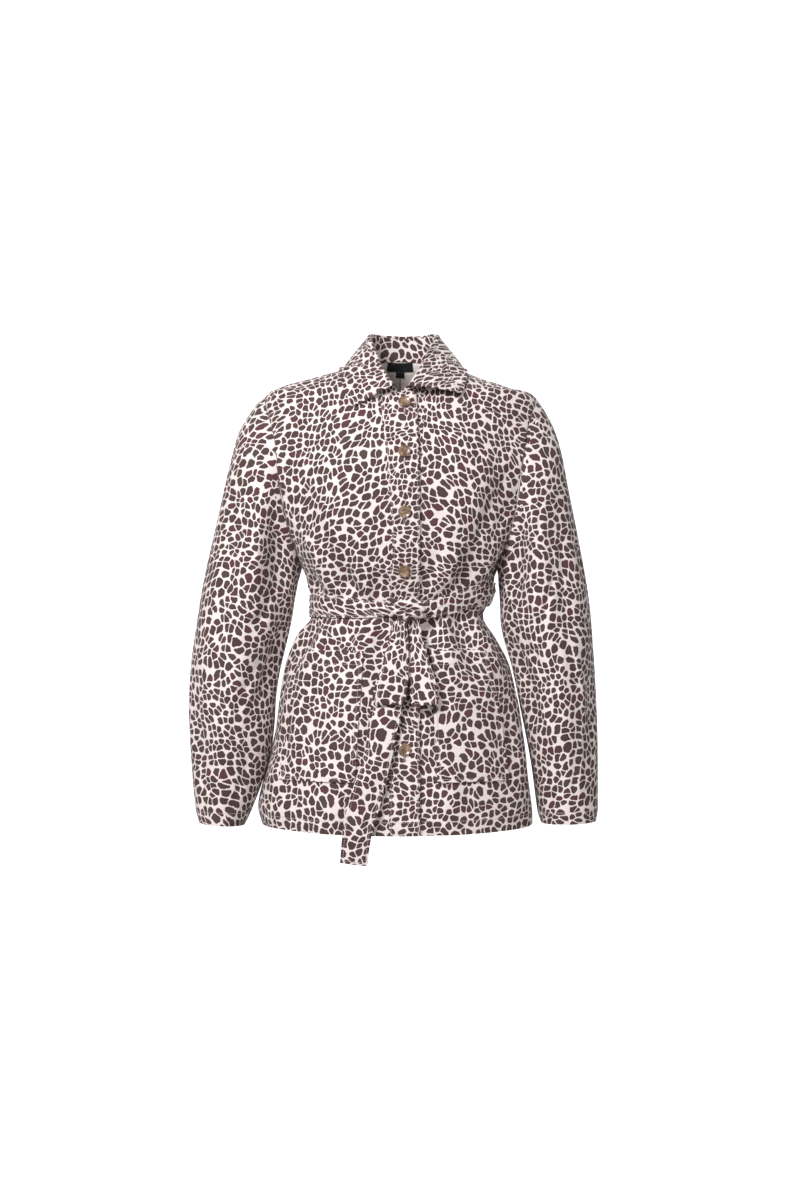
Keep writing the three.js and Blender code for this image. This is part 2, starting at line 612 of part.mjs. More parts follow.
function sleeve(table, side) {
  const last = table.length - 1
  const spots = grid(SLEEVE_ROWS, SLEEVE_COLUMNS, true, (u, v) => {
    const turn = u * 2 * Math.PI
    const place = last * v ** 0.95
    const step = 0.02
    const around = sleevePoint(table, side, turn + step, place).sub(sleevePoint(table, side, turn - step, place))
    const ahead = sleevePoint(table, side, turn, place + step)
    const along = ahead.sub(sleevePoint(table, side, turn, Math.max(place - step, 0)))
    const normal = new THREE.Vector3().crossVectors(around, along).normalize().multiplyScalar(side)
    const point = sleevePoint(table, side, turn, place)
    if (v === 0) {
      const edge = armholeEdge(side, turn)
      const overhang = Math.max(normal.dot(edge.away), 0)
      normal.addScaledVector(edge.away, -overhang).normalize()
      const under = (1 - Math.cos(turn)) / 2
      point.addScaledVector(edge.away, ARMHOLE_GAP).addScaledVector(normal, -UNDERARM_GAP * under)
    }
    return { point, inward: normal.negate() }
  })
  return wallFrom(spots, WALL, true)
}

// Moves a point out along the body's normal until it is at least a clearance off the outer face
function clearOfBody(point, clearance) {
  for (let step = 0; step < 4; step += 1) {
    const row = rowAtHeight(Math.min(point.z, BODY_SECTIONS.at(-1).z))
    const angle = Math.atan2(point.x, -point.y)
    const normal = bodyNormal(angle, row)
    const distance = point.clone().sub(bodyPoint(angle, row)).dot(normal)
    if (distance < clearance) point.addScaledVector(normal, clearance - distance)
  }
  return point
}

// Collar station at a share of the way from the wearer's right front end to the left one
function collarStation(u) {
  const side = u < 0.5 ? -1 : 1
  const fromFront = 1 - Math.abs(2 * u - 1)
  const station = sample(COLLAR_STATIONS, fromFront * (COLLAR_STATIONS.length - 1))
  const skew = side * Math.max(0, 1 - fromFront * 3) ** 2
  station.edgeX += TIP_SKEW.across * skew
  station.edgeZ += TIP_SKEW.down * skew
  const roll = new THREE.Vector3(side * station.rollX + COLLAR_MIDDLE, station.rollY, station.rollZ)
  const edge = new THREE.Vector3(side * station.edgeX + COLLAR_MIDDLE, station.edgeY, station.edgeZ)
  return { roll, edge }
}

// Frame of the roll line: the way towards the inside of the neck and the way up, across the line
function collarFrame(u) {
  const step = 0.01
  const ahead = collarStation(Math.min(u + step, 1)).roll
  const behind = collarStation(Math.max(u - step, 0)).roll
  const tangent = ahead.sub(behind).normalize()
  const { roll } = collarStation(u)
  const neckward = new THREE.Vector3(COLLAR_MIDDLE, -12, roll.z).sub(roll)
  neckward.addScaledVector(tangent, -neckward.dot(tangent)).normalize()
  const rise = new THREE.Vector3().crossVectors(neckward, tangent)
  if (rise.z < 0) rise.negate()
  return { neckward, rise }
}

function collarStand() {
  const rows = 3
  const spots = grid(rows, COLLAR_COLUMNS, false, (u, v) => {
    const { roll } = collarStation(u)
    const { neckward } = collarFrame(u)
    const outerRoll = roll.clone().addScaledVector(neckward, -COLLAR_WALL)
    const angle = Math.atan2(outerRoll.x, -outerRoll.y)
    const row = neckRow(angle)
    const seat = bodyPoint(angle, row)
    const normal = bodyNormal(angle, row)
    const neckUp = bodyPoint(angle, row + 0.05).sub(seat).normalize()
    seat.addScaledVector(neckUp, NECK_GAP)
    const inward = neckward.clone().lerp(normal.negate(), 1 - v).normalize()
    return { point: seat.lerp(outerRoll, v), inward }
  })
  return wallFrom(spots, COLLAR_WALL)
}

function collarLeaf() {
  const spots = grid(ROLL_STEPS + FALL_STEPS, COLLAR_COLUMNS, false, (u, v) => {
    const { roll, edge } = collarStation(u)
    const { neckward, rise } = collarFrame(u)
    const step = v * (ROLL_STEPS + FALL_STEPS)
    const lift = rise.clone().multiplyScalar(SEAM_GAP)
    if (step <= ROLL_STEPS) {
      const turn = Math.PI * step / ROLL_STEPS
      const out = neckward.clone().multiplyScalar(Math.cos(turn)).addScaledVector(rise, Math.sin(turn))
      const point = roll.clone().addScaledVector(neckward, -ROLL_RADIUS).addScaledVector(out, ROLL_RADIUS).add(lift)
      return { point, inward: out.negate() }
    }
    const share = (step - ROLL_STEPS) / FALL_STEPS
    const start = roll.clone().addScaledVector(neckward, -2 * ROLL_RADIUS).add(lift)
    const down = edge.clone().sub(start)
    const outward = neckward.clone().negate()
    outward.addScaledVector(down, -outward.dot(down) / down.lengthSq()).normalize()
    const point = start.addScaledVector(down, share)
    point.addScaledVector(outward, LEAF_BULGE * Math.sin(Math.PI * share) * Math.min(1, down.length() / 60))
    clearOfBody(point, LEAF_CLEARANCE + COLLAR_WALL)
    return { point, inward: outward.negate() }
  })
  return wallFrom(spots, COLLAR_WALL)
}

// The belt's band: a level ring just clear of the body, whose edges curl in a little
function beltBand() {
  const rows = 3
  const spots = grid(rows, BELT_COLUMNS, true, (u, v) => {
    const angle = u * 2 * Math.PI
    const leftShare = smoothstep(Math.sin(angle) * WAIST_HALF, BELT_RISE_START, BELT_RISE_END)
    const half = lerp(BELT_HALF_RIGHT, BELT_HALF_LEFT, leftShare)
    const z = beltHeight(angle) + half * (2 * v - 1)
    const crown = BELT_CROWN * Math.sin(Math.PI * v)
    return onBody(angle, rowAtHeight(z), BELT_CLEARANCE + BELT_WALL + crown)
  })
  return wallFrom(spots, BELT_WALL, true)
}

function patchPocket(edges) {
  const bottomRow = rowAtHeight(POCKET_BOTTOM)
  const topRow = rowAtHeight(POCKET_TOP)
  const spots = grid(POCKET_ROWS, POCKET_COLUMNS, false, (u, v) => {
    const angle = lerp(edges.inner, edges.outer, u) * DEGREE
    return onBody(angle, lerp(bottomRow, topRow, v), POCKET_GAP + POCKET_WALL)
  })
  return wallFrom(spots, POCKET_WALL)
}

// A four-hole button's outer form: a disc with a raised rim and a dished middle
function buttonGeometry() {
  const radius = BUTTON_DIAMETER / 2
  const thick = BUTTON_THICKNESS
  const profile = [
    [0, 0],
    [radius * 0.72, 0],
    [radius, thick * 0.4],
    [radius, thick * 0.75],
    [radius * 0.86, thick],
    [radius * 0.66, thick * 0.72],
    [0, thick * 0.66],
  ]
  const geometry = new THREE.LatheGeometry(profile.map(([r, h]) => new THREE.Vector2(r, h)), 16)
  geometry.rotateX(Math.PI / 2)
  geometry.deleteAttribute('normal')
  geometry.deleteAttribute('uv')
  return outwardFacing(mergeVertices(geometry, 1e-3))
}

function buttonMesh(number, z) {
  const row = rowAtHeight(z)
  const angle = angleAcross(BUTTON_LINE, row)
  const normal = bodyNormal(angle, row)
  const mesh = clothMesh(`button_${number}`, buttonGeometry(), SHELL)
  mesh.position.copy(bodyPoint(angle, row).addScaledVector(normal, SEAM_GAP))
  mesh.quaternion.setFromUnitVectors(UP, normal)
  return mesh
}

// The knot: a plump wrapped lump with a pinched waist on each side
function beltKnot() {
  const rings = 10
  const sides = 16
  const centre = new THREE.Vector3(KNOT.x, frontFace(KNOT.x, KNOT.z) - KNOT.off - KNOT.halfDepth, KNOT.z)
  const geometry = new THREE.SphereGeometry(1, sides, rings)
  const position = geometry.getAttribute('position')
  const point = new THREE.Vector3()
  for (let i = 0; i < position.count; i += 1) {
    point.fromBufferAttribute(position, i)
    const wrap = 1 + 0.1 * Math.cos(5 * Math.atan2(point.z, point.x))
    point.set(point.x * KNOT.halfWidth * wrap, point.y * KNOT.halfDepth, point.z * KNOT.halfHeight * wrap)
    point.add(centre)
    position.setXYZ(i, point.x, point.y, point.z)
  }
  geometry.deleteAttribute('normal')
  geometry.deleteAttribute('uv')
  return outwardFacing(mergeVertices(geometry, 1e-3))
}

// How far forward the front of the body lies at a place across and a height
function frontFace(x, z) {
  const row = rowAtHeight(z)
  return bodyPoint(angleAcross(x, row), row).y
}

// A hanging strip of belt: rows of its middle line, half width, twist and curl
function hangingStrip(table, columns, rows) {
  const spots = grid(rows, columns, false, (u, v) => {
    const place = v * (table.length - 1)
    const section = sample(table, place)
    const step = 0.02
    const ahead = sample(table, place + step)
    const middle = new THREE.Vector3(section.x, frontFace(section.x, section.z) - section.off, section.z)
    const next = new THREE.Vector3(ahead.x, frontFace(ahead.x, ahead.z) - ahead.off, ahead.z)
    const along = next.sub(middle).normalize()
    const across = new THREE.Vector3(1, section.twist, 0)
    across.addScaledVector(along, -across.dot(along)).normalize()
    const inward = new THREE.Vector3().crossVectors(across, along).normalize()
    const offset = (2 * u - 1) * section.half
    const curl = section.curl * (1 - (2 * u - 1) ** 2)
    const point = middle.addScaledVector(across, offset).addScaledVector(inward, -curl)
    return { point, inward }
  })
  return wallFrom(spots, BELT_WALL)
}

// A label plate that lies on the inside of the back, just below the collar
function innerLabel(label) {
  const columns = 8
  const spots = grid(1, columns, false, (u, v) => {
    const row = lerp(label.topRow, label.bottomRow, v)
    const angle = Math.PI + (2 * u - 1) * label.halfWidth / LABEL_RADIUS
    return onBody(angle, row, -(WALL + NECK_GAP))
  })
  return wallFrom(spots, LABEL_WALL)
}

function clothMesh(name, geometry, look = CLOTH) {
  const mesh = new THREE.Mesh(geometry, new THREE.MeshStandardMaterial(look))
  mesh.name = name
  return mesh
}

const group = new THREE.Group()
group.add(
  clothMesh('front_right', frontPanel(-1)),
  clothMesh('front_left', frontPanel(1)),
  clothMesh('back_right', backPanel(-1)),
  clothMesh('back_left', backPanel(1)),
  clothMesh('sleeve_right', sleeve(RIGHT_SLEEVE, -1)),
  clothMesh('sleeve_left', sleeve(LEFT_SLEEVE, 1)),
  clothMesh('collar_stand', collarStand()),
  clothMesh('collar_leaf', collarLeaf()),
  clothMesh('pocket_right', patchPocket(RIGHT_POCKET)),
  clothMesh('pocket_left', patchPocket(LEFT_POCKET)),
  clothMesh('belt_band', beltBand()),
  clothMesh('belt_knot', beltKnot()),
  clothMesh('belt_loop', hangingStrip(BOW_LOOP, 2, 24)),
  clothMesh('belt_short_end', hangingStrip(SHORT_END, 2, 10)),
  clothMesh('belt_long_end', hangingStrip(LONG_END, 2, 18)),
  clothMesh('neck_label', innerLabel(NECK_LABEL), DARK_LABEL),
  clothMesh('size_tab', innerLabel(SIZE_TAB), DARK_LABEL),
)
BUTTON_HEIGHTS.forEach((z, index) => group.add(buttonMesh(index + 1, z)))

export default group
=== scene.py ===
import math

import bpy
import numpy as np
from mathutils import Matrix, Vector


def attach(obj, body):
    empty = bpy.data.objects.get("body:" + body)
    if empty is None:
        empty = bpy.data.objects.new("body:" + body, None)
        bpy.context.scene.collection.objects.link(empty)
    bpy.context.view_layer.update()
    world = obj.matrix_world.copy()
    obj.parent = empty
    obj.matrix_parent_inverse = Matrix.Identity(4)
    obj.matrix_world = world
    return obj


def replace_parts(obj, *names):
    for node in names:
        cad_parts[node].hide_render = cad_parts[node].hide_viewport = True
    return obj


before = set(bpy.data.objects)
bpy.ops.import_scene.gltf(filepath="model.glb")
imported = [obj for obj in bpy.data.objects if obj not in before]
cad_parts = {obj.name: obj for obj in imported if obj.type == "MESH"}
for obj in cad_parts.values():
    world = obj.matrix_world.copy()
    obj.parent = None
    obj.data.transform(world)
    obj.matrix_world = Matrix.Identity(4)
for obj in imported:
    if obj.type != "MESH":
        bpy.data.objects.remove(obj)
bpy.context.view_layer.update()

bl_info = {
    "name": "Belted Shirt Jacket",
    "version": (1, 0, 0),
    "blender": (4, 5, 0),
    "location": "View3D > Sidebar > Jacket",
    "description": "Sews the cloth, belt, buttons and labels of a belted shirt jacket in spotted cotton",
    "category": "Add Mesh",
}

# Lengths are in millimetres in the tables and become metres when a mesh is made.
MM = 0.001
DEGREE = math.pi / 180

# Cloth and seams
WALL = 1.6
COLLAR_WALL = 2.0
SEAM_GAP = 0.4
ARMHOLE_GAP = 1.7
UNDERARM_GAP = 1.1
NECK_GAP = 0.8
LABEL_WALL = 0.8
BELT_WALL = 2.0
POCKET_WALL = 1.6
POCKET_GAP = 0.7
BELT_CLEARANCE = 1.3

# Hems: width, height over the plain cloth, and where the stitches run. A panel's rows are finer at its hem.
HEM_WIDTH = 20.0
HEM_HEIGHT = 0.5
HEM_STITCH = 19.0
PANEL_ROWS = ((0.055, 18), (1.0, 86))

# Front edges, measured across from the middle, and the lap of the left front under the right one
RIGHT_FRONT_EDGE = 28.5
LEFT_FRONT_EDGE = -15.0
LAP_START = 46.0
LAP_END = 80.0
LAP_GAP = 2.6
LAP_MIDDLE = 3.0
LAP_STIFF = 9.0
LAP_SOFT = 24.0
PLACKET_WIDTH = 44.0
PLACKET_PRINT_SCALE = 1.3

# Buttons
BUTTON_LINE = 6.5
BUTTON_HEIGHTS = (-55, -128, -215, -300, -386, -470, -556)
HOLE_OFF = 1.55

# Profile of a button from the middle of its face to the middle of its back: radius, height
BUTTON_PROFILE = np.array([
    (0.0, 2.05), (2.0, 2.05), (3.6, 2.08), (4.4, 2.12), (5.0, 2.2), (5.6, 2.34),
    (6.3, 2.6), (7.0, 2.92), (7.7, 3.16), (8.3, 3.2), (8.7, 3.05), (9.0, 2.7),
    (9.0, 1.5), (8.6, 0.8), (7.6, 0.3), (6.4, 0.05), (3.0, 0), (0.0, 0),
])

# Rows of the body sections where the armhole begins and ends, and where the neck lies
UNDERARM_ROW = 9.9
SHOULDER_ROW = 14.0
NECK_FRONT_ROW = 14.0
NECK_SIDE_ROW = 18.2
NECK_BACK_ROW = 19.0
RISE_START = 0.7
HEM_DIP = 7.0
HEM_DIP_ROWS = 2.0
NECK_SHARE = 0.45
ARMHOLE_BITE_FRONT = 21.0
ARMHOLE_BITE_BACK = 19.0
ARMHOLE_FLARE = 36.0
ARMHOLE_FLARE_WIDTH = 31.0
SHOULDER_LIFT = 7.0

# Level sections of the body from the hem to the neck:
# z, right, left, front, back, square
BODY_SECTIONS = np.array([
    (-672, 206, 199, 150, 149, 2.3),
    (-645, 211, 199, 150, 149, 2.3),
    (-600, 199, 193, 147, 146, 2.3),
    (-545, 187, 186, 141, 140, 2.3),
    (-490, 181, 176, 133, 132, 2.3),
    (-440, 171, 164, 123, 121, 2.3),
    (-400, 152, 143, 111, 108, 2.3),
    (-370, 134, 124, 102, 99, 2.3),
    (-345, 131, 133, 100, 97, 2.3),
    (-318, 136, 140, 107, 103, 2.35),
    (-290, 149, 147, 116, 112, 2.4),
    (-243, 170, 168, 123, 119, 2.4),
    (-163, 190, 188, 124, 122, 2.4),
    (-93, 197, 196, 110, 117, 2.2),
    (-41, 197, 197, 89, 99, 2.0),
    (-24, 180, 163, 77, 87, 2.0),
    (-12, 138, 126, 70, 78, 2.0),
    (-1, 98, 96, 64, 70, 2.0),
    (7, 69, 69, 60, 65, 2.0),
    (22, 60, 60, 55, 60, 2.0),
], dtype=float)

# Folds drawn in by the belt: angle and width in degrees, reach above and below the belt,
# height of the ridge (negative for a trough), lean in degrees each 100 mm
FOLD_STARTS = 14.0
FOLD_FULL = 36.0
FOLD_HOLDS = 0.3
BELT_FOLDS = (
    (-12, 13, 70, 90, -7, -2),
    (-24, 12, 110, 130, 7, -4),
    (-37, 13, 90, 110, -8, -5),
    (-51, 13, 130, 150, 7, -5),
    (-66, 14, 80, 120, -8, -4),
    (-82, 13, 60, 100, 6, -2),
    (16, 13, 100, 80, -7, 3),
    (30, 13, 120, 120, 7, 4),
    (45, 14, 90, 150, -8, 5),
    (60, 13, 110, 130, 7, 5),
    (76, 13, 70, 160, -7, 3),
    (105, 14, 80, 110, 6, -2),
    (122, 13, 110, 130, -8, -4),
    (139, 14, 90, 150, 7, -4),
    (156, 13, 130, 120, -7, -3),
    (172, 13, 80, 140, 6, -1),
    (-170, 13, 120, 110, -6, 1),
    (-153, 14, 90, 140, 7, 3),
    (-136, 13, 120, 120, -8, 4),
    (-118, 13, 80, 150, 7, 4),
    (-101, 13, 70, 110, -7, 2),
)

# Drapes over the chest, back and skirt: angle, width, middle height, half length, height, lean
DRAPES = (
    (-57, 11, -190, 110, -6, -9),
    (-40, 15, -210, 100, 4, -8),
    (57, 11, -200, 110, -6, 9),
    (42, 15, -190, 90, 4, 7),
    (124, 12, -190, 110, -6, -8),
    (-126, 12, -200, 110, -6, 8),
    (68, 14, -590, 120, 7, 2),
    (88, 14, -600, 110, -5, 0),
    (-72, 15, -600, 110, 5, -2),
    (20, 18, -620, 90, 4, 0),
    (-36, 18, -630, 90, 4, 0),
    (135, 17, -600, 110, 6, -1),
    (165, 16, -610, 100, -4, 0),
    (-150, 17, -600, 110, 6, 1),
)

# Finer creases over the body, in the same columns as the drapes. Lines near the
# armholes run down and inwards, lines over the skirt fall from the belt.
BODY_CREASES = (
    (-66, 5, -205, 75, -3.2, -14),
    (-61, 4, -245, 55, 2.4, -16),
    (-52, 5, -150, 60, -2.6, -22),
    (-46, 4, -262, 48, -2.0, -12),
    (-70, 5, -140, 50, 2.2, -10),
    (-31, 5, -95, 40, 1.5, 26),
    (-20, 4, -280, 42, -1.6, -3),
    (-29, 4, -300, 40, 1.6, 5),
    (65, 5, -210, 80, -3.2, 13),
    (60, 4, -155, 58, 2.4, 18),
    (50, 5, -250, 60, -2.2, 11),
    (36, 4, -285, 45, 1.8, 6),
    (26, 4, -270, 50, -1.6, 4),
    (71, 5, -120, 45, 2.2, 9),
    (38, 5, -100, 42, 1.4, -24),
    (-15, 4, -415, 50, -1.6, -3),
    (-30, 4, -470, 70, 1.6, -3),
    (-45, 5, -445, 60, -2.0, -6),
    (-58, 5, -540, 90, 2.4, -3),
    (-76, 5, -480, 80, -2.6, -5),
    (-84, 5, -585, 70, 2.2, 2),
    (-19, 5, -575, 70, -1.4, 2),
    (22, 4, -430, 60, 1.6, 4),
    (37, 4, -500, 80, -1.8, 3),
    (52, 5, -455, 60, 2.0, 6),
    (64, 5, -540, 90, -2.4, 3),
    (79, 5, -480, 70, 2.2, 5),
    (84, 4, -600, 60, -2.0, 0),
    (30, 5, -600, 60, 1.4, -2),
    (98, 5, -210, 70, -2.4, 8),
    (111, 5, -250, 60, 2.2, -10),
    (130, 5, -170, 75, -2.6, -14),
    (146, 5, -230, 60, 1.8, -6),
    (163, 5, -130, 60, -1.5, 3),
    (176, 4, -260, 60, 1.7, 0),
    (-100, 5, -220, 70, -2.4, -8),
    (-114, 5, -185, 60, 2.2, 10),
    (-131, 5, -245, 70, -2.4, 13),
    (-148, 5, -160, 60, 1.8, 7),
    (-165, 4, -225, 55, -1.7, 2),
    (97, 5, -520, 90, 2.2, 1),
    (115, 5, -460, 70, -2.2, -3),
    (129, 5, -560, 80, 2.0, -1),
    (150, 5, -480, 80, -2.0, -2),
    (174, 5, -540, 80, 1.8, 1),
    (-96, 5, -540, 80, -2.2, 1),
    (-110, 5, -470, 80, 2.2, 3),
    (-127, 5, -590, 70, -2.0, 1),
    (-143, 5, -500, 80, 1.8, 2),
    (-160, 5, -450, 60, -2.0, 2),
)

# Sleeve sections from armhole to cuff:
# outer x, outer z, inner x, inner z, half depth, distance forward
RIGHT_SLEEVE = np.array([
    (199, -36, 149, -290, 66, 0),
    (218, -52, 151, -302, 72, 1),
    (241, -90, 153, -314, 76, 2),
    (251, -126, 155, -328, 78, 3),
    (262, -172, 158, -345, 79, 4),
    (273, -222, 161, -366, 79, 6),
    (285, -274, 166, -391, 78, 8),
    (296, -328, 173, -421, 76, 10),
    (305, -384, 180, -452, 74, 12),
    (313, -440, 185, -488, 71, 14),
    (315, -500, 187, -526, 68, 17),
    (312, -560, 193, -573, 63, 20),
    (308, -612, 206, -616, 57, 23),
    (304, -648, 219, -650, 52, 25),
    (298, -671, 231, -675, 49, 26),
], dtype=float)
LEFT_SLEEVE = np.array([
    (199, -40, 147, -290, 66, 0),
    (214, -60, 148, -303, 72, 1),
    (232, -92, 148, -318, 76, 2),
    (243, -128, 149, -334, 78, 3),
    (252, -176, 150, -354, 79, 4),
    (262, -226, 151, -378, 79, 6),
    (271, -274, 156, -404, 78, 8),
    (280, -326, 165, -434, 76, 10),
    (286, -380, 172, -464, 74, 12),
    (289, -436, 179, -500, 71, 14),
    (291, -498, 187, -540, 68, 17),
    (293, -558, 195, -584, 63, 20),
    (294, -612, 200, -622, 58, 23),
    (294, -648, 204, -652, 54, 25),
    (291, -669, 210, -672, 51, 26),
], dtype=float)

# Sleeve folds: turn and width in degrees, section where the fold is deepest, half length in
# sections, height, lean in degrees each section
SLEEVE_FOLDS = (
    (60, 24, 5.5, 4, -6, 4),
    (90, 24, 4.2, 4, 8, 1),
    (126, 34, 3.4, 3.6, -17, 3),
    (146, 26, 7.5, 3, -9, -5),
    (95, 30, 9.0, 3.4, 8, -3),
    (40, 26, 10.5, 3, -6, 6),
    (235, 28, 4.5, 4, -8, -4),
    (275, 28, 9, 3.5, 7, 5),
    (315, 28, 7, 4, -7, -3),
)

# Finer creases of the sleeves, in the same columns, for the wearer's right and left sleeve
RIGHT_SLEEVE_CREASES = (
    (106, 11, 6.7, 1.3, -4.5, -24),
    (90, 11, 7.4, 1.3, 3.0, -22),
    (78, 9, 3.2, 2.2, -3.4, 11),
    (95, 9, 4.6, 2.4, 2.8, 8),
    (118, 9, 6.0, 2.2, -3.2, -9),
    (50, 10, 6.4, 2.6, 2.4, 6),
    (128, 10, 8.4, 2.0, 2.8, -12),
    (104, 10, 9.6, 2.2, -2.8, -10),
    (70, 10, 8.6, 2.4, -2.4, 7),
    (82, 11, 11.4, 2.0, 2.2, 8),
    (118, 11, 11.8, 1.8, -2.4, -6),
    (48, 11, 12.4, 1.6, -1.8, 4),
    (20, 11, 4.4, 2.4, 2.0, 5),
    (8, 11, 8.4, 2.6, -2.2, -4),
    (340, 11, 11.0, 2.4, 2.0, 4),
    (222, 10, 3.8, 2.4, -3.0, 9),
    (250, 11, 6.2, 2.6, 2.6, -8),
    (290, 11, 4.8, 2.4, -2.4, 6),
    (300, 12, 9.8, 2.6, 2.4, -5),
    (232, 11, 9.6, 2.4, -2.8, 8),
    (262, 11, 12.0, 1.8, -2.2, -4),
)
LEFT_SLEEVE_CREASES = (
    (98, 11, 6.4, 1.4, -5.5, 26),
    (114, 11, 6.9, 1.3, 3.5, 26),
    (84, 9, 3.4, 2.2, -3.2, 10),
    (66, 10, 5.0, 2.6, 2.6, 7),
    (108, 9, 5.6, 2.2, 3.0, -8),
    (124, 9, 7.2, 2.2, -3.2, -11),
    (92, 10, 8.2, 2.4, -2.6, 8),
    (58, 10, 9.0, 2.4, 2.4, -6),
    (116, 10, 9.8, 2.0, 2.6, -9),
    (78, 11, 11.6, 1.8, -2.4, 6),
    (44, 11, 11.2, 2.0, 2.0, 5),
    (128, 11, 12.2, 1.6, -2.0, -4),
    (24, 11, 6.2, 2.8, -2.2, -5),
    (2, 11, 10.0, 2.6, 2.0, 4),
    (334, 11, 5.0, 2.4, 2.2, 6),
    (226, 10, 4.4, 2.4, -3.0, -8),
    (256, 11, 7.0, 2.6, 2.6, 7),
    (286, 11, 10.6, 2.4, -2.4, -5),
    (304, 12, 7.6, 2.6, 2.2, 5),
    (238, 11, 11.0, 2.2, -2.4, 6),
)

# Collar from the front end to the back: roll x, y, z and edge x, y, z
COLLAR_STATIONS = np.array([
    (8, -97, -34, 78, -92, -51),
    (20, -77, -13, 86, -80, -38),
    (29.5, -51, 8, 91, -61, -22),
    (37.5, -24, 30, 93, -36, -8),
    (46.5, 4, 50, 93, -4, 2),
    (45, 34, 58, 85, 42, 2),
    (26, 52, 58, 50, 77, -4),
    (0, 58, 57, 0, 87, -8),
], dtype=float)
COLLAR_MIDDLE = 5.5
RIGHT_ROLL_OPEN = 7.0
TIP_ACROSS = 5.0
TIP_DOWN = 11.0
ROLL_RADIUS = 3.6
LEAF_BULGE = 2.0
LEAF_CLEARANCE = 2.6

# Belt line, band and knot
BELT_HEIGHT = -355.0
BELT_RISE = 22.0
BELT_RISE_START = 50.0
BELT_RISE_END = 135.0
WAIST_HALF = 135.0
BELT_HALF_AT_KNOT = 11.5
BELT_HALF = 17.0
BELT_RIGHT_RISE = 4.0
BELT_CROWN = 2.2
KNOT_X = 9.5
KNOT_Z = -354.0
KNOT_OFF = 10.9
KNOT_HALF = (29.0, 10.0, 16.5)

# Hanging strips of belt, from the knot down: x, off, z, half width, twist, curl
BOW_LOOP = np.array([
    (1, 19, -373, 8, 0.1, 2),
    (-1, 22, -400, 13, 0.1, 3),
    (-6.5, 23, -435, 18.5, 0.05, 3),
    (-10.5, 22, -463, 21.5, 0, 2),
    (-15, 20, -486, 20.5, 0, 1),
    (-14, 16, -491, 20, 0, 0),
    (-14, 12.6, -484, 20, 0, 0),
    (-11, 12, -468, 18, 0, 0),
    (-7, 12, -435, 14, 0, 0),
    (-2, 11.5, -400, 10, 0, 0),
    (1, 9.5, -376, 8, 0, 0),
    (1, 8.4, -360, 8, 0, 0),
], dtype=float)
SHORT_END = np.array([
    (19, 8, -360, 8, -0.1, 0),
    (20, 10, -376, 8, -0.15, 1),
    (22.5, 14, -402, 11.5, -0.15, 3),
    (27.5, 16, -438, 16.5, -0.1, 3),
    (33, 16, -468, 19.5, -0.05, 2),
    (36, 17, -492, 19, 0, 1),
], dtype=float)
LONG_END = np.array([
    (0, 7.8, -360, 8.5, 0, 0),
    (-1, 8, -376, 9, 0, 0),
    (-6, 8.4, -402, 11, 0, 1),
    (-11, 8.6, -436, 15, 0, 1),
    (-17, 8.8, -470, 20, 0, 1),
    (-20, 10, -500, 22, 0, 2),
    (-25, 12, -526, 21, 0, 3),
    (-30, 13, -558, 20, 0.05, 3),
    (-40, 14, -594, 21, 0.05, 2),
    (-50, 14, -630, 22, 0, 2),
    (-60, 14, -668, 21, 0, 2),
    (-66, 13, -718, 19.5, 0, 1),
], dtype=float)

# Pockets: inner and outer angle, and the heights of the bottom and top edge
POCKET_TOP = -416.0
POCKET_BOTTOM = -603.0
RIGHT_POCKET = (-24.0, -64.0)
LEFT_POCKET = (20.0, 58.0)

# Labels: half width, top row and bottom row of the body
NECK_LABEL = (20.5, 18.9, 18.1)
SIZE_TAB = (6.0, 18.05, 17.15)
LABEL_RADIUS = 62.0


def smoothstep(value, low, high):
    """0 up to low, 1 from high on, and t*t*(3 - 2t) between them."""
    t = np.clip((value - low) / (high - low), 0, 1)
    return t * t * (3 - 2 * t)


def bump(distance, half_width):
    """A round bump, 0.5 + 0.5 cos(pi d / w), that is 0 from the half width on."""
    return 0.5 + 0.5 * np.cos(math.pi * np.minimum(np.abs(distance) / half_width, 1))


def turn_between(a, b):
    """Difference of two angles in degrees, within half a turn."""
    return np.mod(a - b + 180, 360) - 180


def unit(vectors):
    """Vectors scaled to length 1."""
    length = np.linalg.norm(vectors, axis=-1, keepdims=True)
    return vectors / np.maximum(length, 1e-9)


def dot(a, b):
    """Dot products along the last axis, kept as a column."""
    return np.sum(a * b, axis=-1, keepdims=True)


def blend(a, b, share):
    """(1 - share) a + share b, for points and a share of one number each."""
    return a + (b - a) * share[..., None]


def read(table, place):
    """The columns of a table at places between its rows, on the curve a + s t + (3(b - a) - 2s - e) t^2
    + (2(a - b) + s + e) t^3 through rows a and b, whose end slopes s and e come from their neighbours."""
    last = len(table) - 1
    place = np.asarray(place, dtype=float)
    start = np.clip(np.floor(place).astype(int), 0, last - 1)
    t = (place - start)[..., None]
    before = table[np.maximum(start - 1, 0)]
    a = table[start]
    b = table[start + 1]
    after = table[np.minimum(start + 2, last)]
    slope = (b - before) / 2
    end_slope = (after - a) / 2
    value = a + slope * t + (3 * (b - a) - 2 * slope - end_slope) * t ** 2
    value = value + (2 * (a - b) + slope + end_slope) * t ** 3
    return np.moveaxis(value, -1, 0)


ROW_PLACES = np.linspace(0, len(BODY_SECTIONS) - 1, 4001)
ROW_HEIGHTS = read(BODY_SECTIONS, ROW_PLACES)[0]


def row_at_height(z):
    """Row of the body sections at a height."""
    return np.interp(z, ROW_HEIGHTS, ROW_PLACES)


def belt_height(angle):
    """Height of the belt's middle line, -355 + 22 smoothstep(135 sin(angle)) from 50 to 135."""
    return BELT_HEIGHT + BELT_RISE * smoothstep(np.sin(angle) * WAIST_HALF, BELT_RISE_START, BELT_RISE_END)


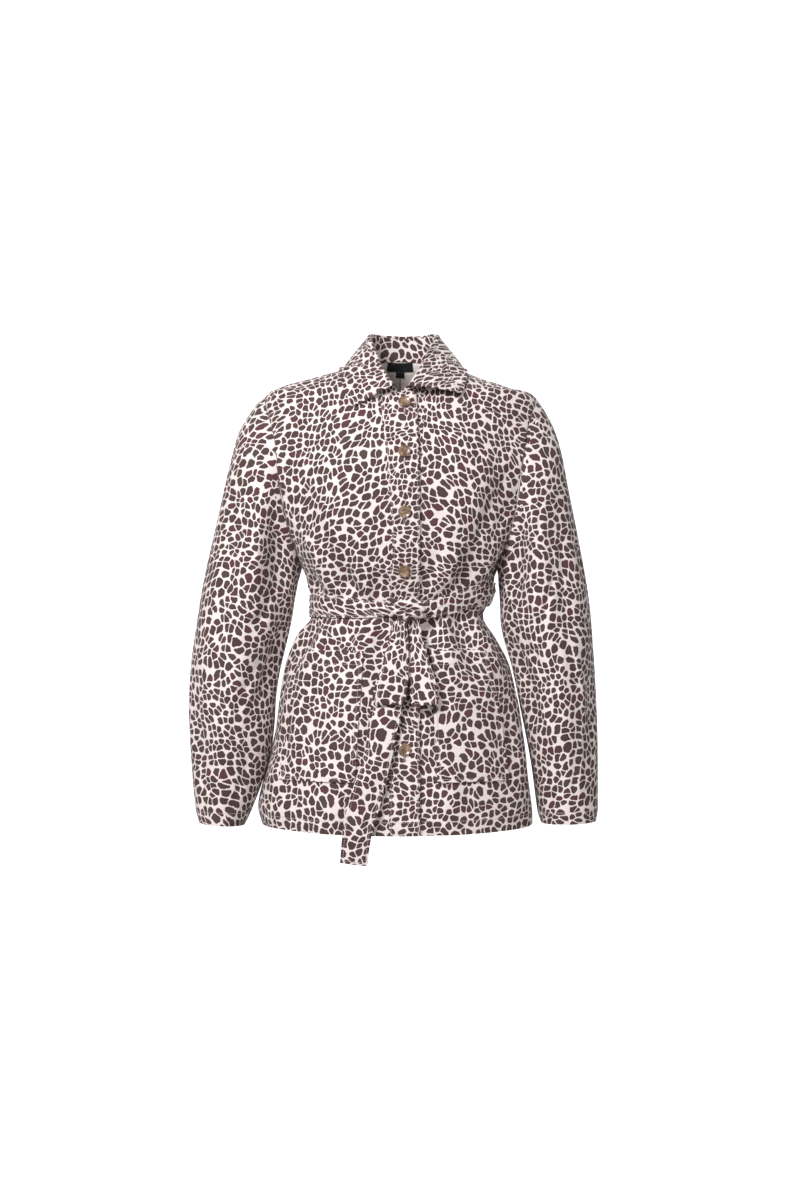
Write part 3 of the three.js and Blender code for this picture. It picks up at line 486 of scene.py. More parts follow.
def fold_height(angle, z):
    """Sum of the folds and drapes: height * fade(z) * bump(angle - place), with place leaning with z."""
    degrees = angle / DEGREE
    from_belt = z - belt_height(angle)
    off = np.abs(from_belt)
    height = np.zeros(np.broadcast(angle, z).shape)
    for place, width, above, below, ridge, lean in BELT_FOLDS:
        reach = np.where(from_belt > 0, above, below)
        fade = smoothstep(off, FOLD_STARTS, FOLD_FULL) * (1 - smoothstep(off / reach, FOLD_HOLDS, 1))
        height = height + ridge * fade * bump(turn_between(degrees, place + lean * off / 100), width)
    height = leaning_ridges(DRAPES, degrees, z, height)
    return height * smoothstep(np.abs(degrees - LAP_MIDDLE), LAP_STIFF, LAP_SOFT)


def leaning_ridges(rows, degrees, z, height):
    """Adds each row's ridge to a height: ridge * bump(angle - place - lean * dz) * bump(dz)."""
    for place, width, middle, reach, ridge, lean in rows:
        along = z - middle
        edge = bump(turn_between(degrees, place + lean * along / 100), width)
        height = height + ridge * edge * bump(along, reach)
    return height


def crease_height(angle, z):
    """Sum of the finer creases and of slow waves that keep the cloth from being too even. Both fade at
    the belt and over the collar."""
    degrees = angle / DEGREE
    height = leaning_ridges(BODY_CREASES, degrees, z, np.zeros(np.broadcast(angle, z).shape))
    slow = 0.9 * np.sin(angle * 7 + z * 0.011) * np.sin(z * 0.021 + angle * 3)
    slow = slow + 0.5 * np.sin(angle * 13 - z * 0.027 + 1.3) * np.sin(z * 0.043 + 0.7)
    fade = smoothstep(np.abs(z - belt_height(angle)), 16, 34) * (1 - smoothstep(z, -70, -40))
    calm = smoothstep(np.abs(degrees - LAP_MIDDLE), LAP_STIFF, LAP_SOFT)
    return (height + slow) * fade * calm


def shoulder_swell(angle, row):
    """How far the cloth is pushed out, and lifted, by the sleeve head near the upper armhole: a bump round
    the side that grows from row 10.6 and runs out evenly, p = (t + sqrt(t^2 + 0.0036))/2, at the shoulder."""
    off_side = np.abs(angle / DEGREE) - 90
    left = (SHOULDER_ROW + 0.1 - row) / 2
    share = np.minimum((left + np.sqrt(left ** 2 + 0.0036)) / 2, 0.9)
    out = ARMHOLE_FLARE * share * smoothstep(row, 10.6, 12.0) * bump(off_side, ARMHOLE_FLARE_WIDTH)
    up = SHOULDER_LIFT * bump(row - SHOULDER_ROW + 0.25, 1.05) * bump(off_side, 50)
    return out, up


def body_point(angle, row):
    """Outer face of the body: radius (|cos/depth|^n + |sin/width|^n)^(-1/n) plus the folds, at
    x = r sin, y = -r cos, where angle 0 is the centre front and 90 degrees the wearer's left."""
    z, right, left, front, back, square = read(BODY_SECTIONS, row)
    sine = np.sin(angle)
    cosine = np.cos(angle)
    half_width = np.where(sine >= 0, left, right)
    half_depth = np.where(cosine >= 0, front, back)
    share = np.abs(cosine / half_depth) ** square + np.abs(sine / half_width) ** square
    out, up = shoulder_swell(angle, row)
    radius = share ** (-1 / square) + fold_height(angle, z) + out
    dip = HEM_DIP * np.maximum(cosine, 0) * np.maximum(1 - row / HEM_DIP_ROWS, 0)
    return np.stack([sine * radius, -cosine * radius, z - dip + up], axis=-1)


def body_normal(angle, row):
    """Outward normal of the body, the cross product of its two central differences."""
    step = 0.01
    across = body_point(angle + step, row) - body_point(angle - step, row)
    upward = body_point(angle, row + step) - body_point(angle, row - step)
    return unit(np.cross(across, upward))


def on_body(angle, row, height):
    """Point at a height off the body along its normal, with that normal."""
    normal = body_normal(angle, row)
    return body_point(angle, row) + normal * np.asarray(height)[..., None], normal


def angle_across(x, row):
    """Angle at which a row reaches a distance across, by repeating angle = atan2(x, -y)."""
    row = np.asarray(row, dtype=float)
    angle = np.full(row.shape, math.atan2(x, 110)) if np.ndim(x) == 0 else np.arctan2(x, 110)
    for _ in range(6):
        angle = np.arctan2(x, -body_point(angle, row)[..., 1])
    return angle


def armhole_spot(share, side, front):
    """Edge of the armhole from the shoulder (share 0) to the underarm (1): it bites into the panel by
    bite * sin(pi s)^(1.4 + 0.6 cos(pi s)) degrees."""
    turn = share * math.pi
    middle = (SHOULDER_ROW + UNDERARM_ROW) / 2
    half = (SHOULDER_ROW - UNDERARM_ROW) / 2
    bite = np.where(front, ARMHOLE_BITE_FRONT, ARMHOLE_BITE_BACK)
    inset = bite * np.maximum(np.sin(turn), 0) ** (1.4 + 0.6 * np.cos(turn))
    degrees = 90 + np.where(front, -1, 1) * inset
    return side * degrees * DEGREE, middle + half * np.cos(turn)


def neck_row(angle):
    """Row of the neckline: front to side along a sine, then evenly to the back."""
    degrees = np.abs(angle / DEGREE)
    front = NECK_FRONT_ROW + (NECK_SIDE_ROW - NECK_FRONT_ROW) * np.sin(np.minimum(degrees, 90) * DEGREE)
    back = NECK_SIDE_ROW + (NECK_BACK_ROW - NECK_SIDE_ROW) * (degrees - 90) / 90
    return np.where(degrees <= 90, front, back)


def panel_spot(u, v, side, front, middle_angle):
    """Angle and row of a panel's point, from the middle edge (u 0) to the side (u 1) and from the hem
    (v 0) to the top (v 1). Rows are level up to v 0.7 and then rise, by ((v - 0.7)/0.3)^2, to meet the
    neckline and the shoulder seam."""
    plain_row = v * SHOULDER_ROW
    start = middle_angle(plain_row)
    half = (SHOULDER_ROW - UNDERARM_ROW) / 2
    share = np.arccos(np.clip((plain_row - UNDERARM_ROW) / half - 1, -1, 1)) / math.pi
    armhole_angle, _ = armhole_spot(share, side, front)
    side_angle = side * 90 * DEGREE
    edge_angle = np.where(plain_row <= UNDERARM_ROW, side_angle, armhole_angle)
    top_start = middle_angle(np.full(plain_row.shape, SHOULDER_ROW))
    neck_angle = top_start + (side_angle - top_start) * u / NECK_SHARE
    shoulder_share = (u - NECK_SHARE) / (1 - NECK_SHARE)
    shoulder_row = NECK_SIDE_ROW + (SHOULDER_ROW - NECK_SIDE_ROW) * shoulder_share
    on_neck = u <= NECK_SHARE
    top_angle = np.where(on_neck, neck_angle, side_angle)
    top_row = np.where(on_neck, neck_row(neck_angle), shoulder_row)
    rise = np.clip((v - RISE_START) / (1 - RISE_START), 0, 1) ** 2
    top_plain = top_start + (side_angle - top_start) * u
    angle = start + (edge_angle - start) * u + rise * (top_angle - top_plain)
    row = plain_row + rise * (top_row - SHOULDER_ROW)
    return angle, row


def seamed(angle, row, u, v, side, front, middle_seam):
    """Moves a panel's outer edges back by half a seam gap, along the cloth."""
    point = body_point(angle, row)
    radius = np.hypot(point[..., 0], point[..., 1])
    inward = (-side if front else side) * SEAM_GAP / 2 / radius
    outer_edge = (u >= 1) | ((v >= 1) & (u >= NECK_SHARE))
    moved = angle + np.where(outer_edge, inward, 0)
    if middle_seam:
        moved = moved - np.where(u <= 0, inward, 0)
    return moved


def lap_drop(angle, row):
    """How far the left front sinks under the right one where they lap."""
    across = body_point(angle, row)[..., 0]
    return (WALL + LAP_GAP) * (1 - smoothstep(across, LAP_START, LAP_END))


def cloth_lift(angle, row):
    """The finer creases at a place on the body, calmed where the armhole and neck seams lie."""
    z = read(BODY_SECTIONS, row)[0]
    return crease_height(angle, z) * (1 - smoothstep(row, 12.6, 13.8))


def lengths_along(points, axis):
    """Running length along one axis of a grid of points."""
    steps = np.linalg.norm(np.diff(points, axis=axis), axis=-1)
    start = np.zeros_like(np.take(steps, [0], axis=axis))
    return np.concatenate([start, np.cumsum(steps, axis=axis)], axis=axis)


def print_place(points):
    """Place of each grid point on the flat printed cloth: across, the running length along its row,
    and up, the running length along its column."""
    return np.stack([lengths_along(points, 1), lengths_along(points, 0)], axis=-1)


GRID_STEPS = (
    ((slice(None), slice(None, -1)), (slice(None), slice(1, None))),
    ((slice(None, -1), slice(None)), (slice(1, None), slice(None))),
    ((slice(None, -1), slice(None, -1)), (slice(1, None), slice(1, None))),
    ((slice(None, -1), slice(1, None)), (slice(1, None), slice(None, -1))),
)


def settled(points, place, every, rounds=500):
    """Places on the flat cloth, moved until the steps of the grid keep their lengths. In each round every
    place moves by the mean of (1 - wanted / present) times its steps along rows, columns and diagonals.
    It is worked out on the plain grid and its result is spread evenly over a finer one."""
    coarse = points[::every, ::every]
    moved = place[::every, ::every].copy()
    start = moved.copy()
    wanted = [np.linalg.norm(coarse[b] - coarse[a], axis=-1) for a, b in GRID_STEPS]
    count = np.zeros(moved.shape[:2])
    for a, b in GRID_STEPS:
        count[a] += 1
        count[b] += 1
    for _ in range(rounds):
        move = np.zeros_like(moved)
        for (a, b), length in zip(GRID_STEPS, wanted):
            gap = moved[b] - moved[a]
            present = np.maximum(np.sqrt(gap[..., 0] ** 2 + gap[..., 1] ** 2), 1e-6)
            pull = gap * (0.8 * (1 - length / present))[..., None]
            move[a] += pull
            move[b] -= pull
        moved = moved + move / count[..., None]
    return place + spread_evenly(moved - start, place.shape[0], place.shape[1])


def spread_evenly(grid, rows, columns):
    """A grid read between its rows and columns, straight from one to the next."""
    for axis, size in ((0, rows), (1, columns)):
        at = np.linspace(0, grid.shape[axis] - 1, size)
        low = np.minimum(at.astype(int), grid.shape[axis] - 2)
        share = np.expand_dims(at - low, axis=tuple(k for k in range(3) if k != axis))
        grid = np.take(grid, low, axis) * (1 - share) + np.take(grid, low + 1, axis) * share
    return grid


def tube_place(points, start_column):
    """Place of a tube's grid points on the flat printed cloth. Up it is the place along the middle
    line plus the point's own distance along that line's way a; across it is the running length of the
    row's steps less their share along a."""
    centre = points[:, :-1].mean(axis=1)
    axis = unit(np.gradient(centre, axis=0))
    padded = np.pad(axis, ((4, 4), (0, 0)), mode="edge")
    keep = np.ones(9) / 9
    axis = unit(np.stack([np.convolve(column, keep, "valid") for column in padded.T], axis=-1))
    along = lengths_along(centre, 0)
    upward = along[:, None] + np.sum((points - centre[:, None]) * axis[:, None], axis=-1)
    steps = np.diff(points, axis=1)
    steps = steps - axis[:, None] * dot(steps, axis[:, None])
    across = np.cumsum(np.linalg.norm(steps, axis=-1), axis=1)
    across = np.concatenate([np.zeros((len(points), 1)), across], axis=1)
    return np.stack([across - across[:, start_column:start_column + 1], upward], axis=-1)


class ClothMesh:
    """A closed wall of cloth, made from a grid of outer points and the matching inner points."""

    def __init__(self, outer, inner, place, closed=False, strip=None):
        """Grids run rows first. A closed grid repeats its first column as its last one, so that the
        print has its own place on both sides of the seam. A strip (columns, scale, shift) is cut on its
        own from the same cloth."""
        self.rows, self.columns = outer.shape[:2]
        self.closed = closed
        self.ring = self.columns - 1 if closed else self.columns
        self.outer = outer[:, :self.ring]
        self.inner = inner[:, :self.ring]
        self.place = place
        self.strip = strip

    def vertex(self, row, column, layer):
        """Number of the vertex at a row and column of a layer."""
        return layer * self.rows * self.ring + row * self.ring + column % self.ring

    def faces(self):
        """Corner numbers, places on the cloth and layers of all four-sided faces."""
        row, column = np.meshgrid(np.arange(self.rows - 1), np.arange(self.columns - 1), indexing="ij")
        row, column = row.ravel(), column.ravel()
        corner_rows = np.stack([row, row, row + 1, row + 1], axis=1)
        corner_columns = np.stack([column, column + 1, column + 1, column], axis=1)
        across = np.arange(self.columns - 1)
        upward = np.arange(self.rows - 1)
        parts = [
            (corner_rows, corner_columns, np.zeros_like(corner_rows)),
            (corner_rows[:, ::-1], corner_columns[:, ::-1], np.ones_like(corner_rows)),
            self.rim(np.zeros_like(across), across, 0, 1, False),
            self.rim(np.full_like(across, self.rows - 1), across, 0, 1, True),
        ]
        if not self.closed:
            parts.append(self.rim(upward, np.zeros_like(upward), 1, 0, True))
            parts.append(self.rim(upward, np.full_like(upward, self.columns - 1), 1, 0, False))
        return [np.concatenate(items) for items in zip(*parts)]

    def rim(self, row, column, row_step, column_step, flip):
        """Faces of one edge, between the outer and the inner layer."""
        rows = np.stack([row, row, row + row_step, row + row_step], axis=1)
        columns = np.stack([column, column, column + column_step, column + column_step], axis=1)
        layers = np.tile(np.array([0, 1, 1, 0]), (len(row), 1))
        if flip:
            return rows[:, ::-1], columns[:, ::-1], layers[:, ::-1]
        return rows, columns, layers

    def build(self, name, reverse_bare=True):
        """Makes the object: vertices, faces that point out, the cloth's own map in metres, and the
        attribute bare_side, which is 1 on the unprinted side of the cloth."""
        rows, columns, layers = self.faces()
        corners = self.vertex(rows, columns, layers)
        points = np.concatenate([self.outer.reshape(-1, 3), self.inner.reshape(-1, 3)]) * MM
        corners = outward(points, corners)
        if corners[0, 0] != self.vertex(rows, columns, layers)[0, 0]:
            rows, columns, layers = rows[:, ::-1], columns[:, ::-1], layers[:, ::-1]
        mesh = make_mesh(name, points, corners)
        places = self.place[rows, columns] * MM
        if self.strip:
            count, scale, shift = self.strip
            in_strip = (columns.max(axis=1) <= count)[:, None, None]
            places = np.where(in_strip, places * scale + shift, places)
        cloth_map = mesh.uv_layers.new(name="cloth")
        cloth_map.data.foreach_set("uv", places.reshape(-1).astype(np.float32))
        bare = mesh.attributes.new("bare_side", "FLOAT", "POINT")
        side = np.repeat([0.0, 1.0 if reverse_bare else 0.0], self.rows * self.ring)
        bare.data.foreach_set("value", side.astype(np.float32))
        return place_object(name, mesh)


def outward(points, corners):
    """Turns all faces over where the volume they close, sum of a . (b x c) / 6, is negative."""
    a, b, c, d = (points[corners[:, k]] for k in range(4))
    volume = np.sum(a * np.cross(b, c)) + np.sum(a * np.cross(c, d))
    return corners[:, ::-1].copy() if volume < 0 else corners


def make_mesh(name, points, corners):
    """A smooth mesh from an array of points and the corner numbers of its faces."""
    mesh = bpy.data.meshes.new(name)
    mesh.from_pydata(points, [], corners)
    mesh.update()
    mesh.polygons.foreach_set("use_smooth", np.full(len(mesh.polygons), True))
    return mesh


def place_object(name, mesh):
    """Puts a mesh in the scene as an object at the origin."""
    piece = bpy.data.objects.new(name, mesh)
    bpy.context.scene.collection.objects.link(piece)
    return piece


def own_trim(piece, finish):
    """A piece that rides on the body and takes its slot and its finish. Sewing stands for no CAD node."""
    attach(piece, "root")
    piece.data.materials.append(material(finish))
    return piece


def own_node(piece, node, finish):
    """A piece that stands for a CAD node."""
    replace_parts(own_trim(piece, finish), node)


def spaced(parts, quality):
    """Shares from 0 to 1 in spans of (end, count), each evenly divided."""
    values = [0.0]
    for end, count in parts:
        values.extend(np.linspace(values[-1], end, count * quality + 1)[1:])
    return np.array(values)


def hem_relief(distance, width, height):
    """Relief of a turned and stitched edge, a flat band one cloth thicker up to the stitch line, with
    the line itself drawn in: height (1 - smoothstep) - 0.45 bump."""
    band = 1 - smoothstep(distance, width + 0.6, width + 3.4)
    return height * band - 0.5 * bump(distance - width + 1.2, 2.6)


def puckers(along, distance, width, seed):
    """Small puckers across a stitched edge, uneven in length and spacing."""
    wave = np.sin(along / 7.3 + seed) * np.sin(along / 17.1 + 2 * seed) + 0.5 * np.sin(along / 4.1 + 3 * seed)
    return 0.28 * wave * bump(distance - width, width)


def front_edge(side):
    """How far across from the middle a front's edge lies."""
    return RIGHT_FRONT_EDGE if side < 0 else LEFT_FRONT_EDGE


def front_grid(side, quality):
    """Shares across and up of a front's grid, and how many of its first columns span the placket strip."""
    v = spaced(PANEL_ROWS, quality)
    placket_columns = 8 * quality
    plain_row = v * SHOULDER_ROW
    start = angle_across(front_edge(side), plain_row)
    inner = angle_across(front_edge(side) + side * PLACKET_WIDTH, plain_row)
    share = (inner - start) / (side * 90 * DEGREE - start)
    first = np.linspace(0, 1, placket_columns + 1)[None, :] * share[:, None]
    rest = np.linspace(0, 1, 38 * quality + 1)[None, 1:]
    u = np.concatenate([first, share[:, None] + rest * (1 - share[:, None])], axis=1)
    v = np.repeat(v[:, None], u.shape[1], axis=1)
    return u, v, placket_columns


def hemmed_panel(angle, row, seed):
    """A panel on the body: its points and normals, the lengths from its hem and from its middle edge, and
    its relief, which is the finer creases plus the hem."""
    base, normal = on_body(angle, row, np.zeros(angle.shape))
    from_hem = lengths_along(base, 0)
    from_edge = lengths_along(base, 1)
    lift = cloth_lift(angle, row)
    lift = lift + hem_relief(from_hem, HEM_WIDTH, HEM_HEIGHT) + puckers(from_edge, from_hem, HEM_WIDTH, seed)
    return base, normal, from_hem, from_edge, lift


def front_points(side, quality):
    """Grids of a front: outer points, inner points, places on the cloth and its normals."""
    u, v, placket_columns = front_grid(side, quality)
    angle, row = panel_spot(u, v, side, True, lambda r: angle_across(front_edge(side), r))
    angle = seamed(angle, row, u, v, side, True, False)
    base, normal, from_hem, from_edge, lift = hemmed_panel(angle, row, 1.7 + side)
    if side < 0:
        lift = lift + 0.35 * (1 - smoothstep(from_edge, PLACKET_WIDTH - 1, PLACKET_WIDTH + 1.5))
        lift = lift + puckers(from_hem, from_edge, PLACKET_WIDTH, 0.6)
    else:
        lift = lift - lap_drop(angle, row)
        lift = np.where(from_edge < 60, np.minimum(lift, -lap_drop(angle, row) + 0.4), lift)
    outer = base + normal * lift[..., None]
    return outer, outer - normal * WALL, settled(base, print_place(base), quality), normal, placket_columns


def back_points(side, quality):
    """Grids of a back, as for a front, with a groove along the middle seam."""
    u, v = np.meshgrid(np.linspace(0, 1, 40 * quality + 1), spaced(PANEL_ROWS, quality))
    angle, row = panel_spot(u, v, side, False, lambda r: np.full(np.shape(r), side * math.pi))
    angle = seamed(angle, row, u, v, side, False, True)
    base, normal, _, from_edge, lift = hemmed_panel(angle, row, 2.9 + side)
    lift = lift - 0.45 * bump(from_edge, 3.5)
    outer = base + normal * lift[..., None]
    return outer, outer - normal * WALL, settled(base, print_place(base), quality), normal


def sleeve_section(table, side, turn, place, creases):
    """Point of a sleeve drawn from its table: an oval of half length h from the inner to the outer
    profile point and half depth d, x and z along the profile by cos(turn) (1 + swell / h) and
    y = -forward - (d + swell) sin(turn), where swell sums the folds."""
    outer_x, outer_z, inner_x, inner_z, depth, forward = read(table, place)
    swell = np.zeros(np.shape(turn))
    for at_turn, width, at, reach, height, lean in SLEEVE_FOLDS + tuple(creases):
        along = place - at
        turned = turn_between(turn / DEGREE, at_turn + lean * along)
        swell = swell + height * bump(turned, width) * bump(along, reach)
    half_x = (outer_x - inner_x) / 2
    half_z = (outer_z - inner_z) / 2
    stretch = 1 + swell / np.hypot(half_x, half_z)
    x = (outer_x + inner_x) / 2 + half_x * np.cos(turn) * stretch
    z = (outer_z + inner_z) / 2 + half_z * np.cos(turn) * stretch
    y = -forward - (depth + swell) * np.sin(turn)
    return np.stack([side * x, y, z], axis=-1)


def armhole_edge(side, turn):
    """Armhole edge of the body at a turn round the sleeve, with the way off the panel."""
    front = np.sin(turn) >= 0
    share = np.arccos(np.clip(np.cos(turn), -1, 1)) / math.pi
    angle, row = armhole_spot(share, side, front)
    step = 0.004
    ahead = body_point(*armhole_spot(np.clip(share + step, 0, 1), side, front))
    behind = body_point(*armhole_spot(np.clip(share - step, 0, 1), side, front))
    along = unit(ahead - behind)
    normal = body_normal(angle, row)
    away = np.cross(along, normal)
    point = body_point(angle, row)
    middle = body_point(np.array(side * 90 * DEGREE), np.array((SHOULDER_ROW + UNDERARM_ROW) / 2))
    away = np.where(dot(away, middle - point) < 0, -away, away)
    return point, away, normal


def sleeve_point(table, side, turn, place, creases):
    """Point of the sleeve: its section, moved to meet the armhole edge over the first three rows. In the
    upper half it also leaves the edge in the plane of the body's cloth, by p (1 - p / 3)^2 times
    the part of its first step that points off that plane."""
    drawn = sleeve_section(table, side, turn, place, creases)
    join = 1 - smoothstep(place, 0, 3)
    edge, _, normal = armhole_edge(side, turn)
    start = sleeve_section(table, side, turn, np.zeros(np.shape(turn)), ())
    after = sleeve_section(table, side, turn, np.full(np.shape(turn), 0.05), ())
    off_plane = normal * dot((after - start) / 0.05, normal)
    upper = smoothstep(np.cos(turn), -0.5, 0.3)
    bend = upper * place * np.maximum(1 - place / 3, 0) ** 2
    return drawn + (edge - start) * join[..., None] - off_plane * bend[..., None]


def sleeve_points(table, side, creases, quality):
    """Grids of a sleeve, from the armhole to the cuff and once round from the underarm."""
    v = spaced(((0.04, 6), (0.955, 84), (1.0, 11)), quality)
    u, v = np.meshgrid(np.linspace(0, 1, 60 * quality + 1), v)
    turn = math.pi + u * 2 * math.pi
    place = (len(table) - 1) * v ** 0.95
    step = 0.02

    def spot(turned, placed):
        return sleeve_point(table, side, turned, placed, creases)

    around = spot(turn + step, place) - spot(turn - step, place)
    along = spot(turn, place + step) - spot(turn, np.maximum(place - step, 0))
    normal = unit(np.cross(around, along)) * side
    base = spot(turn, place)
    _, away, _ = armhole_edge(side, turn)
    at_armhole = (v <= 0)[..., None]
    overhang = np.maximum(dot(normal, away), 0)
    normal = np.where(at_armhole, unit(normal - away * overhang), normal)
    under = ((1 - np.cos(turn)) / 2)[..., None]
    base = np.where(at_armhole, base + away * ARMHOLE_GAP - normal * UNDERARM_GAP * under, base)
    to_cuff = lengths_along(base[::-1], 0)[::-1]
    along_cuff = lengths_along(base, 1)
    lift = hem_relief(to_cuff, HEM_WIDTH, HEM_HEIGHT) + puckers(along_cuff, to_cuff, HEM_WIDTH, 0.9 + side)
    lift = lift - 0.5 * bump(np.minimum(along_cuff, along_cuff[:, -1:] - along_cuff), 3.5)
    ends = smoothstep(v, 0, 0.03)
    outer = base + normal * (lift * ends)[..., None]
    place = settled(base, tube_place(base, u.shape[1] // 2), quality)
    return outer, outer - normal * WALL, place, normal


def clear_of_body(point, clearance):
    """Points moved out along the body's normal until they are at least a clearance off its face."""
    for _ in range(4):
        row = row_at_height(np.minimum(point[..., 2], BODY_SECTIONS[-1, 0]))
        angle = np.arctan2(point[..., 0], -point[..., 1])
        normal = body_normal(angle, row)
        distance = dot(point - body_point(angle, row), normal)
        point = point + normal * np.maximum(clearance - distance, 0)
    return point


def collar_station(u):
    """Roll and edge of the collar at a share from the wearer's right front end to the left one."""
    side = np.where(u < 0.5, -1.0, 1.0)
    from_front = 1 - np.abs(2 * u - 1)
    station = from_front * (len(COLLAR_STATIONS) - 1)
    roll_x, roll_y, roll_z, edge_x, edge_y, edge_z = read(COLLAR_STATIONS, station)
    roll_x = roll_x + np.where(side < 0, RIGHT_ROLL_OPEN, 0) * (1 - smoothstep(from_front, 0.2, 0.7))
    skew = side * np.maximum(0, 1 - from_front * 3) ** 2
    edge_x = edge_x + TIP_ACROSS * skew
    edge_z = edge_z + TIP_DOWN * skew
    roll = np.stack([side * roll_x + COLLAR_MIDDLE, roll_y, roll_z], axis=-1)
    edge = np.stack([side * edge_x + COLLAR_MIDDLE, edge_y, edge_z], axis=-1)
    return roll, edge


def collar_frame(u):
    """The ways towards the inside of the neck and up, square to the roll line."""
    step = 0.01
    ahead = collar_station(np.minimum(u + step, 1))[0]
    behind = collar_station(np.maximum(u - step, 0))[0]
    tangent = unit(ahead - behind)
    roll = collar_station(u)[0]
    aim = np.stack([np.full(u.shape, COLLAR_MIDDLE), np.full(u.shape, -12.0), roll[..., 2]], axis=-1) - roll
    neckward = unit(aim - tangent * dot(aim, tangent))
    rise = np.cross(neckward, tangent)
    return neckward, np.where(rise[..., 2:] < 0, -rise, rise)


def collar_stand_points(quality):
    """Grids of the collar stand, a band from the neckline up to the roll line."""
    u, v = np.meshgrid(np.linspace(0, 1, 110 * quality + 1), np.linspace(0, 1, 14 * quality + 1))
    roll, _ = collar_station(u)
    neckward, _ = collar_frame(u)
    outer_roll = roll - neckward * COLLAR_WALL
    angle = np.arctan2(outer_roll[..., 0], -outer_roll[..., 1])
    row = neck_row(angle)
    seat = body_point(angle, row)
    normal = body_normal(angle, row)
    neck_up = unit(body_point(angle, row + 0.05) - seat)
    outer = blend(seat + neck_up * NECK_GAP, outer_roll, v)
    inward = unit(neckward * v[..., None] - normal * (1 - v)[..., None])
    return outer, outer + inward * COLLAR_WALL, print_place(outer), -inward


def collar_leaf_points(quality):
    """Grids of the collar leaf: half a turn over the roll line, then the fall, which swells by
    2 sin(pi s) and keeps clear of the body. Its free edges are a little thicker, with a groove along their
    stitches."""
    roll_steps = 10 * quality
    fall_steps = 34 * quality
    u, step = np.meshgrid(np.linspace(0, 1, 110 * quality + 1), np.arange(roll_steps + fall_steps + 1.0))
    roll, edge = collar_station(u)
    neckward, rise = collar_frame(u)
    lift = rise * SEAM_GAP
    turn = (math.pi * np.minimum(step / roll_steps, 1))[..., None]
    over = neckward * np.cos(turn) + rise * np.sin(turn)
    rolled = roll - neckward * ROLL_RADIUS + over * ROLL_RADIUS + lift
    share = np.clip((step - roll_steps) / fall_steps, 0, 1)
    start = roll - neckward * 2 * ROLL_RADIUS + lift
    down = edge - start
    outward_way = unit(-neckward + down * dot(neckward, down) / dot(down, down))
    length = np.linalg.norm(down, axis=-1)
    swell = LEAF_BULGE * np.sin(math.pi * share) * np.minimum(1, length / 60)
    falling = start + down * share[..., None] + outward_way * swell[..., None]
    falling = clear_of_body(falling, LEAF_CLEARANCE + COLLAR_WALL)
    on_roll = (step <= roll_steps)[..., None]
    outer = np.where(on_roll, rolled, falling)
    normal = np.where(on_roll, over, outward_way)
    from_edge = (1 - share) * length
    from_ends = lengths_along(outer, 1)
    from_ends = np.minimum(from_ends, from_ends[:, -1:] - from_ends)
    free = np.minimum(from_edge, from_ends)
    relief = 0.3 * (1 - smoothstep(free, 4.2, 7)) - 0.35 * bump(free - 5.4, 2.2)
    outer = outer + normal * (relief * (1 - on_roll[..., 0]))[..., None]
    place = settled(outer, print_place(outer), quality, 200)
    return outer, outer - normal * COLLAR_WALL, place, normal


def belt_band_points(quality):
    """Grids of the belt's band: a level ring off the body with a crowned middle and lengthwise
    crumples, ridges cos(a v + wave(angle)) whose line wanders and fades round the waist."""
    u, v = np.meshgrid(np.linspace(0, 1, 240 * quality + 1), np.linspace(0, 1, 14 * quality + 1))
    angle = u * 2 * math.pi
    across = np.sin(angle) * WAIST_HALF
    half = BELT_HALF_AT_KNOT + (BELT_HALF - BELT_HALF_AT_KNOT) * smoothstep(np.abs(across), 20, 110)
    half = np.where(np.cos(angle) > 0, half, BELT_HALF)
    z = belt_height(angle) + BELT_RIGHT_RISE * smoothstep(-across, 40, 130) + half * (2 * v - 1)
    off = BELT_CLEARANCE + BELT_WALL + BELT_CROWN * np.sin(math.pi * v)
    base, normal = on_body(angle, row_at_height(z), off)
    wander = 1.7 * np.sin(3 * angle + 0.4) + 1.1 * np.sin(5 * angle + 1.9) + 0.5 * np.sin(11 * angle)
    ridge = 0.9 * np.cos(13 * v + wander) * (0.55 + 0.45 * np.sin(4 * angle + 2.1))
    crossing = 0.7 * np.cos(21 * v - 1.6 * wander + 0.8) * (0.5 + 0.5 * np.sin(7 * angle - 1.1))
    near_knot = bump(turn_between(angle / DEGREE, 4), 34)
    pull = 1.3 * np.cos(24 * v + 3.5 * near_knot) * near_knot
    inside = np.sin(math.pi * v) ** 0.6
    edge = 0.45 * (bump(v - 0.1, 0.07) + bump(v - 0.9, 0.07))
    lift = (ridge + crossing + pull) * inside - edge
    outer = base + normal * lift[..., None]
    place = print_place(outer)
    thickness = BELT_WALL + np.minimum(lift, 0.4)
    return outer, outer - normal * np.maximum(thickness, 1.0)[..., None], place, normal


def front_face(x, z):
    """How far forward the front of the body lies at a place across and a height."""
    row = row_at_height(z)
    return body_point(angle_across(x, row), row)[..., 1]


